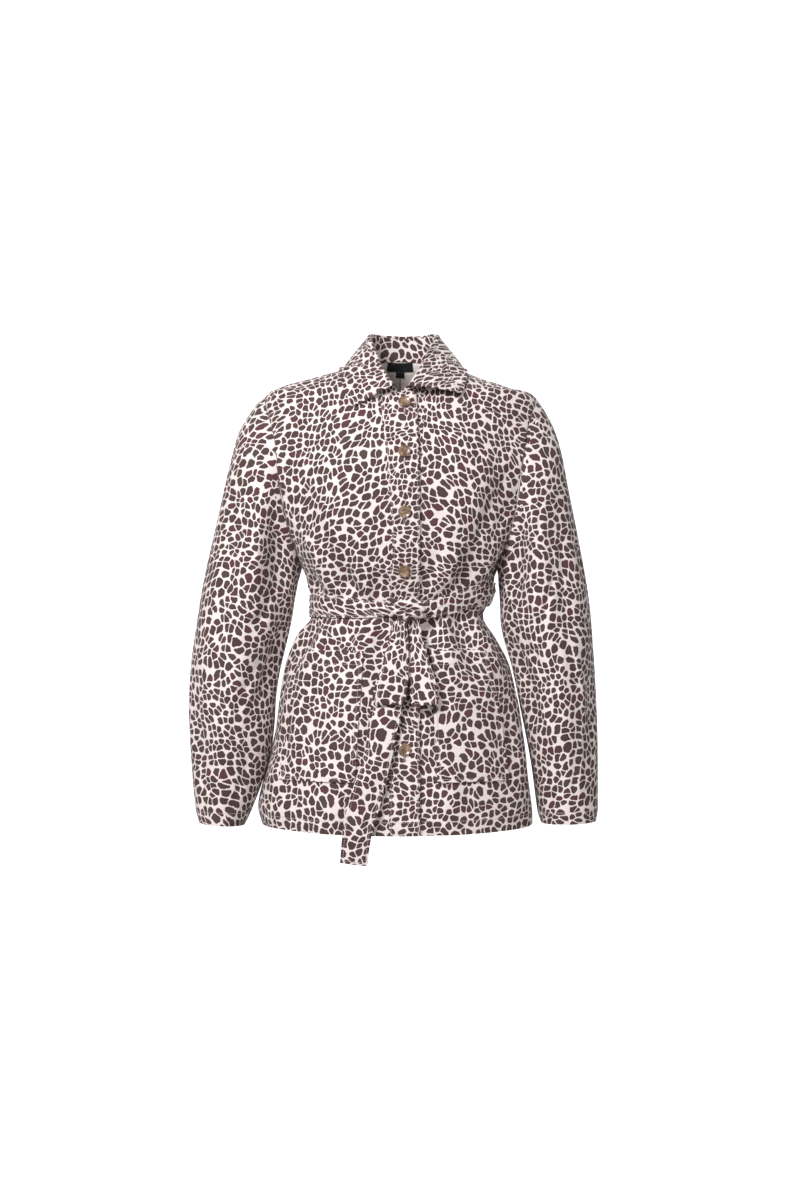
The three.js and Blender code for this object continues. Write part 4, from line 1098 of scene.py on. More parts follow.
def strip_points(table, columns, rows, crease, seed):
    """Grids of a hanging strip of belt: middle line x, y = front - off, z, spread across by the half
    width and swelling by curl (1 - s^2), with pleats fanning out from the knot and a turned edge."""
    u, v = np.meshgrid(np.linspace(0, 1, columns + 1), np.linspace(0, 1, rows + 1))
    x, off, z, half, twist, curl = read(table, v * (len(table) - 1))
    x2, off2, z2 = read(table, v * (len(table) - 1) + 0.02)[:3]
    middle = np.stack([x, front_face(x, z) - off, z], axis=-1)
    ahead = np.stack([x2, front_face(x2, z2) - off2, z2], axis=-1)
    along = unit(ahead - middle)
    across = np.stack([np.ones(u.shape), twist, np.zeros(u.shape)], axis=-1)
    across = unit(across - along * dot(across, along))
    inward = unit(np.cross(across, along))
    s = 2 * u - 1
    from_knot = lengths_along(middle, 0)
    fan = np.exp(-from_knot / crease)
    pleat = 1.9 * np.cos(3.1 * math.pi * s + seed) * fan
    slow = 0.8 * np.sin(from_knot / 21 + seed + 1.2 * s) * (1 - fan)
    edge = 0.35 * bump(1 - np.abs(s) - 0.16, 0.1) - 0.25 * (1 - smoothstep(1 - np.abs(s), 0.0, 0.1))
    lift = curl * (1 - s ** 2) + (pleat + slow) * (1 - s ** 4) - edge
    outer = middle + across * (s * half)[..., None] - inward * lift[..., None]
    across_place = s * half.max()
    place = np.stack([across_place, -lengths_along(middle, 0)], axis=-1)
    return outer, outer + inward * BELT_WALL, place, -inward


def knot_points(quality):
    """The knot, one turned-over band: an egg of half sizes (a, b, c) whose radius is drawn into folds
    that slant over its front, 1 + 0.1 cos(5 q) + pleats, with q the angle about the depth axis."""
    columns = 96 * quality
    rows = 48 * quality
    u, v = np.meshgrid(np.linspace(0, 1, columns + 1), np.linspace(0.0, 1.0, rows + 1))
    polar = math.pi * (0.004 + 0.992 * v)
    turn = 2 * math.pi * u
    x = np.sin(polar) * np.cos(turn)
    z = np.sin(polar) * np.sin(turn)
    y = -np.cos(polar)
    slant = 0.82 * x + 0.9 * z
    across = 0.9 * x - 0.75 * z
    wrap = 1 + 0.06 * np.cos(5 * turn)
    pleat = 0.10 * np.cos(8.5 * slant + 1.3 * np.sin(2 * across)) * (1 - y ** 8)
    groove = -0.16 * bump(slant - 0.52 - 0.15 * across, 0.16) - 0.14 * bump(slant + 0.46 + 0.2 * across, 0.15)
    band = 0.13 * bump(slant - 0.04, 0.5) * (y < 0.5)
    swell = wrap + (pleat + groove + band) * np.sin(polar) ** 0.5
    front = float(front_face(np.array(KNOT_X), np.array(KNOT_Z)))
    centre = np.array([KNOT_X, front - KNOT_OFF - KNOT_HALF[1], KNOT_Z])
    shape = np.stack([x * KNOT_HALF[0], y * KNOT_HALF[1], z * KNOT_HALF[2]], axis=-1)
    outer = centre + shape * swell[..., None]
    inner = centre + shape * (swell * 0.86)[..., None]
    place = np.stack([slant * 22, across * 26], axis=-1)
    return outer, inner, place


def pocket_points(edges, quality):
    """Grids of a patch pocket: a panel off the body, with turned and stitched edges and a wide top hem."""
    columns = spaced(((0.08, 5), (0.92, 34), (1.0, 5)), quality)
    rows = spaced(((0.05, 5), (0.84, 42), (1.0, 18)), quality)
    u, v = np.meshgrid(columns, rows)
    angle = (edges[0] + (edges[1] - edges[0]) * u) * DEGREE
    low = row_at_height(POCKET_BOTTOM)
    high = row_at_height(POCKET_TOP)
    row = low + (high - low) * v
    base, normal = on_body(angle, row, np.full(u.shape, POCKET_GAP + POCKET_WALL))
    across = lengths_along(base, 1)
    upward = lengths_along(base, 0)
    sides = np.minimum(np.minimum(across, across[:, -1:] - across), upward)
    from_top = upward[-1:] - upward
    lift = cloth_lift(angle, row)
    lift = lift + 0.45 * (1 - smoothstep(sides, 3.6, 6.0)) - 0.45 * bump(sides - 5.0, 2.4)
    lift = lift + hem_relief(from_top, 22, 0.45) + puckers(across, from_top, 22, 0.3)
    lift = lift + 0.8 * bump(from_top - 4, 26) * np.sin(math.pi * u)
    outer = base + normal * lift[..., None]
    return outer, outer - normal * POCKET_WALL, print_place(base), normal


def label_points(label, quality):
    """Grids of a label that lies on the inside of the back, just below the collar."""
    half_width, top_row, bottom_row = label
    u, v = np.meshgrid(np.linspace(0, 1, 30 * quality + 1), np.linspace(0, 1, 10 * quality + 1))
    angle = math.pi + (2 * u - 1) * half_width / LABEL_RADIUS
    row = top_row + (bottom_row - top_row) * v
    wave = 0.18 * np.sin(9 * u + 2 * v) * np.sin(math.pi * u)
    outer, normal = on_body(angle, row, -(WALL + NECK_GAP) + wave)
    place = np.stack([u * 2 * half_width, v * 14], axis=-1)
    return outer, outer - normal * LABEL_WALL, place, normal


def button_points(quality):
    """A four-hole button in its own frame: a turned profile (radius, height) with a raised rim and a
    dished middle, whose face is lowered into four holes and whose edge is rounded."""
    place = np.linspace(0, len(BUTTON_PROFILE) - 1, 70 * quality + 1)
    r, h = (np.interp(place, np.arange(len(BUTTON_PROFILE)), column) for column in BUTTON_PROFILE.T)
    turn = np.linspace(0, 2 * math.pi, 64 * quality + 1)
    r, turn = np.broadcast_arrays(r[:, None], turn[None, :])
    x = r * np.cos(turn)
    y = r * np.sin(turn)
    top = (place < 11)[:, None]
    away = np.hypot(np.abs(x) - HOLE_OFF, np.abs(y) - HOLE_OFF)
    hole = 1.7 * (1 - smoothstep(away, 0.62, 0.98)) * top
    z = h[:, None] - hole
    return np.stack([x, y, np.broadcast_to(z, x.shape)], axis=-1)


def carried(points, centre, across, upward, outward_way):
    """Points given across, up and off the cloth, put at a place on it."""
    return centre + points[..., :1] * across + points[..., 1:2] * upward + points[..., 2:3] * outward_way


def button_frame(z):
    """Centre of a button's back and its ways across, up and off the cloth."""
    row = row_at_height(np.array(float(z)))
    angle = angle_across(BUTTON_LINE, row)
    normal = body_normal(angle, row)
    upward = unit(np.array([0.0, 0.0, 1.0]) - normal * normal[2])
    return body_point(angle, row) + normal * SEAM_GAP, np.cross(upward, normal), upward, normal


def tube_points(path, radius, sides, flat=1.0):
    """Grid round a path: rings of the given radius, squeezed by flat along the second way."""
    tangent = unit(np.gradient(path, axis=0))
    guide = np.where(np.abs(tangent[:, 1:2]) < 0.9, np.array([[0.0, 1.0, 0.0]]), np.array([[1.0, 0.0, 0.0]]))
    first = unit(np.cross(tangent, guide))
    second = np.cross(tangent, first)
    turn = np.linspace(0, 2 * math.pi, sides, endpoint=False)
    ring = first[:, None] * np.cos(turn)[None, :, None]
    ring = ring + second[:, None] * (flat * np.sin(turn))[None, :, None]
    size = np.broadcast_to(np.asarray(radius, dtype=float), (len(path),))
    return path[:, None] + ring * size[:, None, None]


def ring_faces(rows, columns):
    """Faces of a grid whose columns go round."""
    row, column = np.meshgrid(np.arange(rows - 1) * columns, np.arange(columns), indexing="ij")
    row, column = row.ravel(), column.ravel()
    beside = (column + 1) % columns
    return np.stack([row + column, row + beside, row + columns + beside, row + columns + column], axis=1)


def tubes_mesh(name, grids):
    """One mesh of many closed tubes, each a grid of rings whose end rings are drawn to a point."""
    points = []
    faces = []
    count = 0
    for rings in grids:
        rings = rings.copy()
        rings[0] = rings[0].mean(axis=0) + (rings[0] - rings[0].mean(axis=0)) * 0.05
        rings[-1] = rings[-1].mean(axis=0) + (rings[-1] - rings[-1].mean(axis=0)) * 0.05
        rows, columns = rings.shape[:2]
        flat = rings.reshape(-1, 3) * MM
        corners = outward(flat, ring_faces(rows, columns))
        ends = [list(range(columns)), list(range((rows - 1) * columns, rows * columns))]
        flipped = not np.array_equal(corners, ring_faces(rows, columns))
        ends = [ends[0] if flipped else ends[0][::-1], ends[1][::-1] if flipped else ends[1]]
        points.append(flat)
        faces.extend((corners + count).tolist())
        faces.extend([[i + count for i in end] for end in ends])
        count += len(flat)
    return place_object(name, make_mesh(name, np.concatenate(points), faces))


def along_line(points, normals, pitch):
    """Places evenly spaced by a pitch on a polyline, with the way along it and its normals."""
    length = lengths_along(points, 0)
    at = np.arange(pitch / 2, length[-1] - pitch / 2, pitch)

    def between(places, values):
        return np.stack([np.interp(places, length, column) for column in values.T], axis=-1)

    way = between(at + 0.5, points) - between(at - 0.5, points)
    return between(at, points), unit(way), unit(between(at, normals))


def stitches_mesh(name, lines, pitch, length=2.5, thick=0.42):
    """Rows of stitches: each is a small six-sided bead of thread, two rings and two tips, sunk a
    little into the cloth at its ends. lines holds pairs of points and normals."""
    turn = np.arange(6) * math.pi / 3
    ring = np.stack([np.zeros(6), np.cos(turn) * thick, np.sin(turn) * thick * 0.8], axis=-1)
    bead = np.concatenate([
        [[-length / 2, 0, -0.35]],
        ring + [-length * 0.28, 0, 0.12],
        ring + [length * 0.28, 0, 0.12],
        [[length / 2, 0, -0.35]],
    ])
    side = np.arange(6)
    beside = (side + 1) % 6
    first_tip = np.stack([np.zeros(6, int), 1 + beside, 1 + side], axis=1)
    last_tip = np.stack([np.full(6, 13), 7 + side, 7 + beside], axis=1)
    lower = np.stack([1 + side, 1 + beside, 7 + beside], axis=1)
    upper = np.stack([1 + side, 7 + beside, 7 + side], axis=1)
    faces = np.concatenate([first_tip, last_tip, lower, upper])
    parts = [along_line(points, normals, pitch) for points, normals in lines]
    centre, along, normal = (np.concatenate(items) for items in zip(*parts))
    across = unit(np.cross(normal, along))
    off = np.cross(along, across)
    turned = (centre[:, None] + bead[None, :, :1] * along[:, None] + bead[None, :, 1:2] * across[:, None]
              + bead[None, :, 2:] * off[:, None])
    points = turned.reshape(-1, 3) * MM
    corners = (faces[None] + (np.arange(len(centre)) * len(bead))[:, None, None]).reshape(-1, 3)
    first = corners[:len(faces)]
    a, b, c = (points[first[:, k]] for k in range(3))
    if np.sum((a - points[0]) * np.cross(b - points[0], c - points[0])) < 0:
        corners = corners[:, ::-1]
    return place_object(name, make_mesh(name, points, np.ascontiguousarray(corners)))


class Wire:
    """A socket that carries a value or a vector. Its operators add the Math or Vector Math nodes."""

    def __init__(self, shade, socket, vector=False):
        self.shade = shade
        self.socket = socket
        self.vector = vector

    def combine(self, operation, first, second):
        """A node for two operands, one of which is this wire."""
        items = (first, second)
        vector = any(isinstance(item, Wire) and item.vector for item in items)
        kind = "ShaderNodeVectorMath" if vector else "ShaderNodeMath"
        if vector:
            items = [item if isinstance(item, (Wire, tuple)) else (item,) * 3 for item in items]
        output = self.shade.node(kind, {"operation": operation}, dict(enumerate(items)))
        return output.wire("Vector" if vector else "Value", vector)

    def __add__(self, other):
        return self.combine("ADD", self, other)

    def __radd__(self, other):
        return self.combine("ADD", other, self)

    def __sub__(self, other):
        return self.combine("SUBTRACT", self, other)

    def __rsub__(self, other):
        return self.combine("SUBTRACT", other, self)

    def __mul__(self, other):
        return self.combine("MULTIPLY", self, other)

    def __rmul__(self, other):
        return self.combine("MULTIPLY", other, self)

    def sine(self):
        """The sine of this value."""
        return self.combine("SINE", self, 0.0)

    def step(self, low, high, start=0.0, end=1.0):
        """A smooth step of this value, from start at low to end at high."""
        settings = {"interpolation_type": "SMOOTHSTEP", "clamp": True}
        sockets = {"Value": self, "From Min": low, "From Max": high, "To Min": start, "To Max": end}
        return self.shade.node("ShaderNodeMapRange", settings, sockets).wire("Result")


class Added:
    """A node that was added to a material, whose outputs are read by name."""

    def __init__(self, shade, node):
        self.shade = shade
        self.node = node

    def wire(self, name, vector=False):
        """One output as a wire. An output that is switched off is passed over."""
        found = next(o for o in self.node.outputs if o.name == name and o.enabled)
        return Wire(self.shade, found, vector)


class Shade:
    """A material, its node tree and the one method that adds a node to it."""

    def __init__(self, name):
        self.material = bpy.data.materials.new(name)
        self.material.use_nodes = True
        self.tree = self.material.node_tree
        self.tree.nodes.clear()

    def node(self, kind, settings=None, sockets=None):
        """Adds a node of a type, makes its settings, then fills or links its sockets."""
        node = self.tree.nodes.new(kind)
        for name, value in (settings or {}).items():
            setattr(node, name, value)
        for name, value in (sockets or {}).items():
            socket = node.inputs[name] if isinstance(name, int) else next(
                i for i in node.inputs if i.name == name and i.enabled)
            if isinstance(value, Wire):
                self.tree.links.new(value.socket, socket)
            else:
                socket.default_value = value
        return Added(self, node)

    def cloth_map(self):
        """Place on the flat cloth, in metres."""
        return self.node("ShaderNodeUVMap", {"uv_map": "cloth"}).wire("UV", True)

    def object_place(self):
        """Place in the object, in metres."""
        return self.node("ShaderNodeTexCoord").wire("Object", True)

    def parts(self, vector):
        """The first two numbers of a vector."""
        split = self.node("ShaderNodeSeparateXYZ", None, {"Vector": vector})
        return split.wire("X"), split.wire("Y")

    def noise(self, place, scale, detail=2.0, roughness=0.5):
        """Noise over a place: its value, and its three-number form."""
        settings = {"noise_dimensions": "3D"}
        sockets = {"Vector": place, "Scale": scale, "Detail": detail, "Roughness": roughness}
        found = self.node("ShaderNodeTexNoise", settings, sockets)
        return found.wire("Fac"), found.wire("Color", True)

    def cells(self, place, scale, randomness):
        """Cells over a place: the distance to a cell's edge, to its centre, and the cell's own colour."""
        sockets = {"Vector": place, "Scale": scale, "Randomness": randomness}
        settings = {"voronoi_dimensions": "2D", "feature": "DISTANCE_TO_EDGE"}
        edge = self.node("ShaderNodeTexVoronoi", settings, sockets).wire("Distance")
        settings = {"voronoi_dimensions": "2D", "feature": "F1"}
        middle = self.node("ShaderNodeTexVoronoi", settings, sockets)
        return edge, middle.wire("Distance"), middle.wire("Color", True)

    def smooth_least(self, first, second, blend_width):
        """The lesser of two values, rounded where they are close."""
        settings = {"operation": "SMOOTH_MIN"}
        return self.node("ShaderNodeMath", settings, {0: first, 1: second, 2: blend_width}).wire("Value")

    def mix(self, share, first, second):
        """Mixed colour of two colours."""
        settings = {"data_type": "RGBA", "blend_type": "MIX"}
        return self.node("ShaderNodeMix", settings, {0: share, 6: first, 7: second}).wire("Result", True)

    def bump(self, height, strength, distance):
        """Normal of a bump whose strength and distance are fixed."""
        sockets = {"Height": height, "Strength": strength, "Distance": distance}
        return self.node("ShaderNodeBump", None, sockets).wire("Normal", True)

    def finish(self, **surface):
        """Ends the material with a Principled surface, whose sockets are named with underscores."""
        sockets = {name.replace("_", " "): value for name, value in surface.items()}
        shader = self.node("ShaderNodeBsdfPrincipled", None, sockets)
        self.node("ShaderNodeOutputMaterial", None, {"Surface": shader.wire("BSDF")})
        return self.material


def colour(value):
    """A colour property as four numbers."""
    return scaled(value, 1.0)


def scaled(value, share):
    """A colour made darker or lighter by a share."""
    return (value[0] * share, value[1] * share, value[2] * share, 1.0)


def waves(distance, length):
    """Sine waves of a length, in metres, along a distance."""
    return (distance * (2 * math.pi / length)).sine()


def twill(shade, place):
    """Height of the fine weave: slanting ribs a millimetre apart, broken by the crossing threads."""
    across, upward = shade.parts(place)
    ribs = waves(across + upward * 0.6, 0.0011)
    threads = waves(upward - across * 0.25, 0.0007)
    fuzz, _ = shade.noise(place, 900.0, 2.0)
    return ribs * 0.5 + threads * 0.22 + fuzz * 0.8


# How the print is bent, from broad streams to ragged edges: noise scale, reach in metres, detail, shift
PRINT_BENDS = (
    (11.0, 0.036, 1.0, (0.0, 0.0, 0.0)),
    (34.0, 0.011, 1.0, (3.1, 1.7, 0.0)),
    (105.0, 0.0046, 1.0, (1.3, 5.2, 0.0)),
    (290.0, 0.0022, 2.0, (0.0, 0.0, 0.0)),
)

# Spots, in shares of the distance between two of them
SPOT_UNEVENNESS = 0.72
SPOT_SPREAD = 0.068
SPOT_REACH = 0.58
SPOT_ROUNDING = 0.25


def spotted_cotton(prints):
    """Cotton twill printed with rounded, uneven spots on a pale ground, bare on its other side. Spots
    are cells of a Voronoi pattern on the cloth's own map, which slow noise bends into streams and fine
    noise roughens. A spot is where the lesser of two values is over 0: the distance to the cell's edge
    less a gap of the cell's own, and a reach less the distance to the cell's centre."""
    shade = Shade("spotted_cotton")
    place = shade.cloth_map()
    bent = place
    for scale, reach, detail, shift in PRINT_BENDS:
        _, way = shade.noise(place + shift, scale, detail)
        bent = bent + (way - 0.5) * reach
    edge, middle, own = shade.cells(bent, 1 / prints.spot_pitch, SPOT_UNEVENNESS)
    random, other = shade.parts(own)
    straight = edge - (random * 0.05 + prints.spot_gap / prints.spot_pitch * 0.5 - SPOT_SPREAD)
    round_off = SPOT_REACH - middle - random * 0.08
    inside = shade.smooth_least(straight, round_off * 0.75, SPOT_ROUNDING)
    spot = inside.step(-0.012, 0.016)
    rim = inside.step(0.0, 0.085)
    tone = shade.mix(random.step(0.25, 0.9), colour(prints.spot_colour), colour(prints.spot_grey))
    tone = shade.mix(other.step(0.72, 0.86) * 0.8, tone, colour(prints.spot_red))
    tone = shade.mix(rim * 0.55 + 0.45, scaled(prints.spot_colour, 0.62), tone)
    blotch, _ = shade.noise(place, 45.0, 3.0)
    worn = scaled(prints.ground_colour, 0.955)
    ground = shade.mix(blotch.step(0.35, 0.7), colour(prints.ground_colour), worn)
    printed = shade.mix(spot, ground, tone)
    through = shade.mix(spot * 0.10, colour(prints.bare_colour), colour(prints.spot_colour))
    bare = shade.node("ShaderNodeAttribute", {"attribute_name": "bare_side"}).wire("Fac")
    face = shade.mix(bare.step(0.45, 0.55), printed, through)
    weave = twill(shade, place)
    normal = shade.bump(weave, 0.22, 0.00025)
    roughness = 0.74 + spot * 0.05 + blotch * 0.08
    return shade.finish(Base_Color=face, Roughness=roughness, Normal=normal, Sheen_Weight=0.12,
                        Sheen_Roughness=0.5, Specular_IOR_Level=0.3)


def button_shell(finish):
    """Polished shell: dark and amber clouds under a clear coat, with fine streaks."""
    shade = Shade("button_shell")
    place = shade.object_place()
    cloud, _ = shade.noise(place * (1.0, 1.0, 0.6), 150.0, 3.0, 0.6)
    streak, _ = shade.noise(place * (1.0, 0.4, 2.6), 420.0, 2.0)
    mixed = cloud * 0.75 + streak * 0.25
    base = shade.mix(mixed.step(0.36, 0.50), colour(finish.shell_dark), colour(finish.shell_amber))
    base = shade.mix(mixed.step(0.52, 0.66), base, colour(finish.shell_pale))
    normal = shade.bump(streak, 0.06, 0.0002)
    return shade.finish(Base_Color=base, Roughness=0.2 + streak * 0.12, Normal=normal,
                        Coat_Weight=0.6, Coat_Roughness=0.08, Specular_IOR_Level=0.55)


def sewing_thread(name, tone):
    """Spun thread: fine twisted ribs and small changes of tone."""
    shade = Shade(name)
    place = shade.object_place()
    x, y = shade.parts(place)
    ribs = waves(x * 1.3 + y, 0.0006)
    patch, _ = shade.noise(place, 120.0, 2.0)
    base = shade.mix(patch, scaled(tone, 0.82), colour(tone))
    return shade.finish(Base_Color=base, Roughness=0.62 + patch * 0.1, Normal=shade.bump(ribs, 0.2, 0.0001),
                        Sheen_Weight=0.1)


def label_weave(finish):
    """Closely woven black ribbon with a fine rib and a worn, slightly lighter lie."""
    shade = Shade("label_weave")
    place = shade.cloth_map()
    across, upward = shade.parts(place)
    rib = waves(upward, 0.0006)
    warp = waves(across, 0.0009)
    worn, _ = shade.noise(place, 160.0, 3.0)
    base = shade.mix(worn.step(0.4, 0.75), colour(finish.label_colour), scaled(finish.label_colour, 2.0))
    normal = shade.bump(rib * 0.6 + warp * 0.4, 0.3, 0.0002)
    return shade.finish(Base_Color=base, Roughness=0.62 + worn * 0.2, Normal=normal, Sheen_Weight=0.08,
                        Specular_IOR_Level=0.3)


def stage_white(name):
    """Pale studio white, lit by itself so that it stays even."""
    return Shade(name).finish(Base_Color=(0.9, 0.9, 0.9, 1.0), Roughness=0.9,
                              Emission_Color=(1.0, 1.0, 1.0, 1.0), Emission_Strength=1.0)


def length_value(name, description, default, least, most):
    """A length that can be changed in the panel."""
    return bpy.props.FloatProperty(
        name=name, description=description, default=default, unit="LENGTH", min=least, max=most)


def colour_value(name, description, default):
    """A colour that can be changed in the panel."""
    return bpy.props.FloatVectorProperty(
        name=name, description=description, subtype="COLOR", size=3, min=0, max=1, default=default)


class JacketCloth(bpy.types.PropertyGroup):
    """The printed cloth: its spots and its colours."""
    spot_pitch: length_value("Spot Pitch", "Distance from one spot to the next", 0.0114, 0.004, 0.05)
    spot_gap: length_value("Spot Gap", "Usual bare width between two spots", 0.0025, 0.0005, 0.01)
    spot_colour: colour_value("Spot Colour", "Mauve brown of most spots", (0.080, 0.043, 0.041))
    spot_grey: colour_value("Grey Spot Colour", "Greyer brown of some spots", (0.084, 0.054, 0.048))
    spot_red: colour_value("Red Spot Colour", "Wine brown of a few spots", (0.112, 0.041, 0.049))
    ground_colour: colour_value("Ground Colour", "Pale pinkish ground of the print", (0.88, 0.78, 0.765))
    bare_colour: colour_value("Bare Side Colour", "Unprinted side of the cloth", (0.86, 0.80, 0.76))


class JacketFinish(bpy.types.PropertyGroup):
    """Buttons, thread and labels."""
    shell_dark: colour_value("Dark Shell", "Darkest clouds of the buttons", (0.055, 0.032, 0.022))
    shell_amber: colour_value("Amber Shell", "Middle tone of the buttons", (0.25, 0.145, 0.085))
    shell_pale: colour_value("Pale Shell", "Palest clouds of the buttons", (0.56, 0.40, 0.28))
    thread_colour: colour_value("Thread", "Sewing thread of the edges", (0.66, 0.56, 0.54))
    buttonhole_colour: colour_value("Buttonhole Thread", "Thread of the buttonholes", (0.30, 0.22, 0.20))
    label_colour: colour_value("Label", "Black of the blank neck label and size tab", (0.006, 0.005, 0.006))
    stitch_pitch: length_value("Stitch Pitch", "Distance from one stitch to the next", 0.0032, 0.001, 0.01)


def quality():
    """How many times the plain mesh counts are used."""
    return 2


FINISHES = {}


def material(name):
    """A finish, made when it is first asked for."""
    if name not in FINISHES:
        finish = bpy.context.scene.jacket_finish
        makers = {
            "spotted_cotton": lambda: spotted_cotton(bpy.context.scene.jacket_cloth),
            "button_shell": lambda: button_shell(finish),
            "edge_thread": lambda: sewing_thread(name, finish.thread_colour),
            "buttonhole_thread": lambda: sewing_thread(name, finish.buttonhole_colour),
            "label_weave": lambda: label_weave(finish),
            "studio_white": lambda: stage_white(name),
        }
        FINISHES[name] = makers[name]()
    return FINISHES[name]


def sew(node, grids, closed=False, offset=(0.0, 0.0), trim=(), printed_both=False, strip=None):
    """Makes the cloth of a node from its grids."""
    outer, inner, place = grids[:3]
    cloth = ClothMesh(outer, inner, place + np.array(offset), closed, strip)
    piece = cloth.build("cloth_" + node, reverse_bare=not printed_both)
    own_node(piece, node, "spotted_cotton")


def stitch(name, lines):
    """Makes the stitches along some lines of a cloth's grid."""
    pitch = bpy.context.scene.jacket_finish.stitch_pitch / MM
    return own_trim(stitches_mesh(name, lines, pitch), "edge_thread")


def nearest_row(points, distance):
    """Row of a grid that lies about a distance from its first one."""
    return int(np.argmin(np.abs(lengths_along(points, 0).mean(axis=1) - distance)))


def nearest_last_row(points, distance):
    """Row of a grid that lies about a distance from its last one."""
    return len(points) - 1 - nearest_row(points[::-1], distance)


def nearest_column(points, distance):
    """Column of a grid that lies about a distance from its first one."""
    return int(np.argmin(np.abs(np.median(lengths_along(points, 1), axis=0) - distance)))


def line_on(grids, *spots):
    """Points and normals of a grid along a line, which is given as one or more (row, column) spans."""
    outer, _, _, normal = grids[:4]
    return tuple(np.concatenate([grid[spot] for spot in spots]) for grid in (outer, normal))


class JACKET_OT_fronts(bpy.types.Operator):
    """Sew the two fronts, the wearer's right one with its placket strip on top"""
    bl_idname = "jacket.fronts"
    bl_label = "Fronts"

    def execute(self, context):
        for side, node, offset in ((-1, "front_right", (120.0, 40.0)), (1, "front_left", (900.0, 310.0))):
            *grids, placket_columns = front_points(side, quality())
            lines = [
                line_on(grids, np.s_[nearest_row(grids[0], HEM_STITCH), :]),
                line_on(grids, np.s_[:-4, nearest_column(grids[0], 3)]),
            ]
            if side < 0:
                lines.append(line_on(grids, np.s_[:-2, placket_columns - 1]))
            strip = (placket_columns, PLACKET_PRINT_SCALE, 0.4 * side)
            sew(node, grids, offset=offset, trim=[stitch("stitches_" + node, lines)], strip=strip)
        return {"FINISHED"}


class JACKET_OT_backs(bpy.types.Operator):
    """Sew the two backs, which meet at the middle seam"""
    bl_idname = "jacket.backs"
    bl_label = "Backs"

    def execute(self, context):
        for side, node, offset in ((-1, "back_right", (2100.0, 70.0)), (1, "back_left", (3300.0, 590.0))):
            grids = back_points(side, quality())
            hem = line_on(grids, np.s_[nearest_row(grids[0], HEM_STITCH), :])
            sew(node, grids, offset=offset, trim=[stitch("stitches_" + node, [hem])])
        own_trim(tubes_mesh("back_seam_binding", [back_seam_path()]), "buttonhole_thread")
        return {"FINISHED"}


def back_seam_path():
    """The dark edging of the middle back seam inside, a rounded line from below the size tab down."""
    row = np.linspace(17.0, 10.5, 80)
    path, _ = on_body(np.full(row.shape, math.pi), row, np.full(row.shape, -(WALL + 0.7)))
    return tube_points(path, 0.75, 8, 0.6)


class JACKET_OT_sleeves(bpy.types.Operator):
    """Sew the two full sleeves, each closed at the underarm and hemmed at the cuff"""
    bl_idname = "jacket.sleeves"
    bl_label = "Sleeves"

    def execute(self, context):
        rows = (
            (-1, "sleeve_right", RIGHT_SLEEVE, RIGHT_SLEEVE_CREASES, (4500.0, 30.0)),
            (1, "sleeve_left", LEFT_SLEEVE, LEFT_SLEEVE_CREASES, (5700.0, 450.0)),
        )
        for side, node, table, creases, offset in rows:
            grids = sleeve_points(table, side, creases, quality())
            hem = line_on(grids, np.s_[nearest_last_row(grids[0], HEM_STITCH), :])
            sew(node, grids, closed=True, offset=offset, trim=[stitch("stitches_" + node, [hem])])
        return {"FINISHED"}


class JACKET_OT_collar(bpy.types.Operator):
    """Sew the collar stand and the leaf that rolls over it, printed on both sides"""
    bl_idname = "jacket.collar"
    bl_label = "Collar"

    def execute(self, context):
        sew("collar_stand", collar_stand_points(quality()), offset=(7000.0, 0.0), printed_both=True)
        grids = collar_leaf_points(quality())
        low = nearest_last_row(grids[0], 5.4)
        first = nearest_column(grids[0][:, :40], 5.0)
        last = grids[0].shape[1] - 1 - first
        roll = 12 * quality()
        up_again = np.s_[low - 1:roll - 1:-1, last]
        edge = line_on(grids, np.s_[roll:low, first], np.s_[low, first:last], up_again)
        trim = stitch("stitches_collar", [edge])
        sew("collar_leaf", grids, offset=(8330.0, 150.0), trim=[trim], printed_both=True)
        return {"FINISHED"}


class JACKET_OT_pockets(bpy.types.Operator):
    """Sew the two patch pockets onto the fronts"""
    bl_idname = "jacket.pockets"
    bl_label = "Pockets"

    def execute(self, context):
        rows = (
            ("pocket_right", RIGHT_POCKET, (9000.0, 80.0)),
            ("pocket_left", LEFT_POCKET, (9600.0, 520.0)),
        )
        for node, edges, offset in rows:
            grids = pocket_points(edges, quality())
            low = nearest_row(grids[0], 5)
            top = nearest_last_row(grids[0], 21)
            first = nearest_column(grids[0], 5)
            last = grids[0].shape[1] - 1 - first
            edge = line_on(grids, np.s_[:low - 1:-1, first], np.s_[low, first:last], np.s_[low:, last])
            trim = stitch("stitches_" + node, [edge, line_on(grids, np.s_[top, first:last])])
            sew(node, grids, offset=offset, trim=[trim])
        return {"FINISHED"}


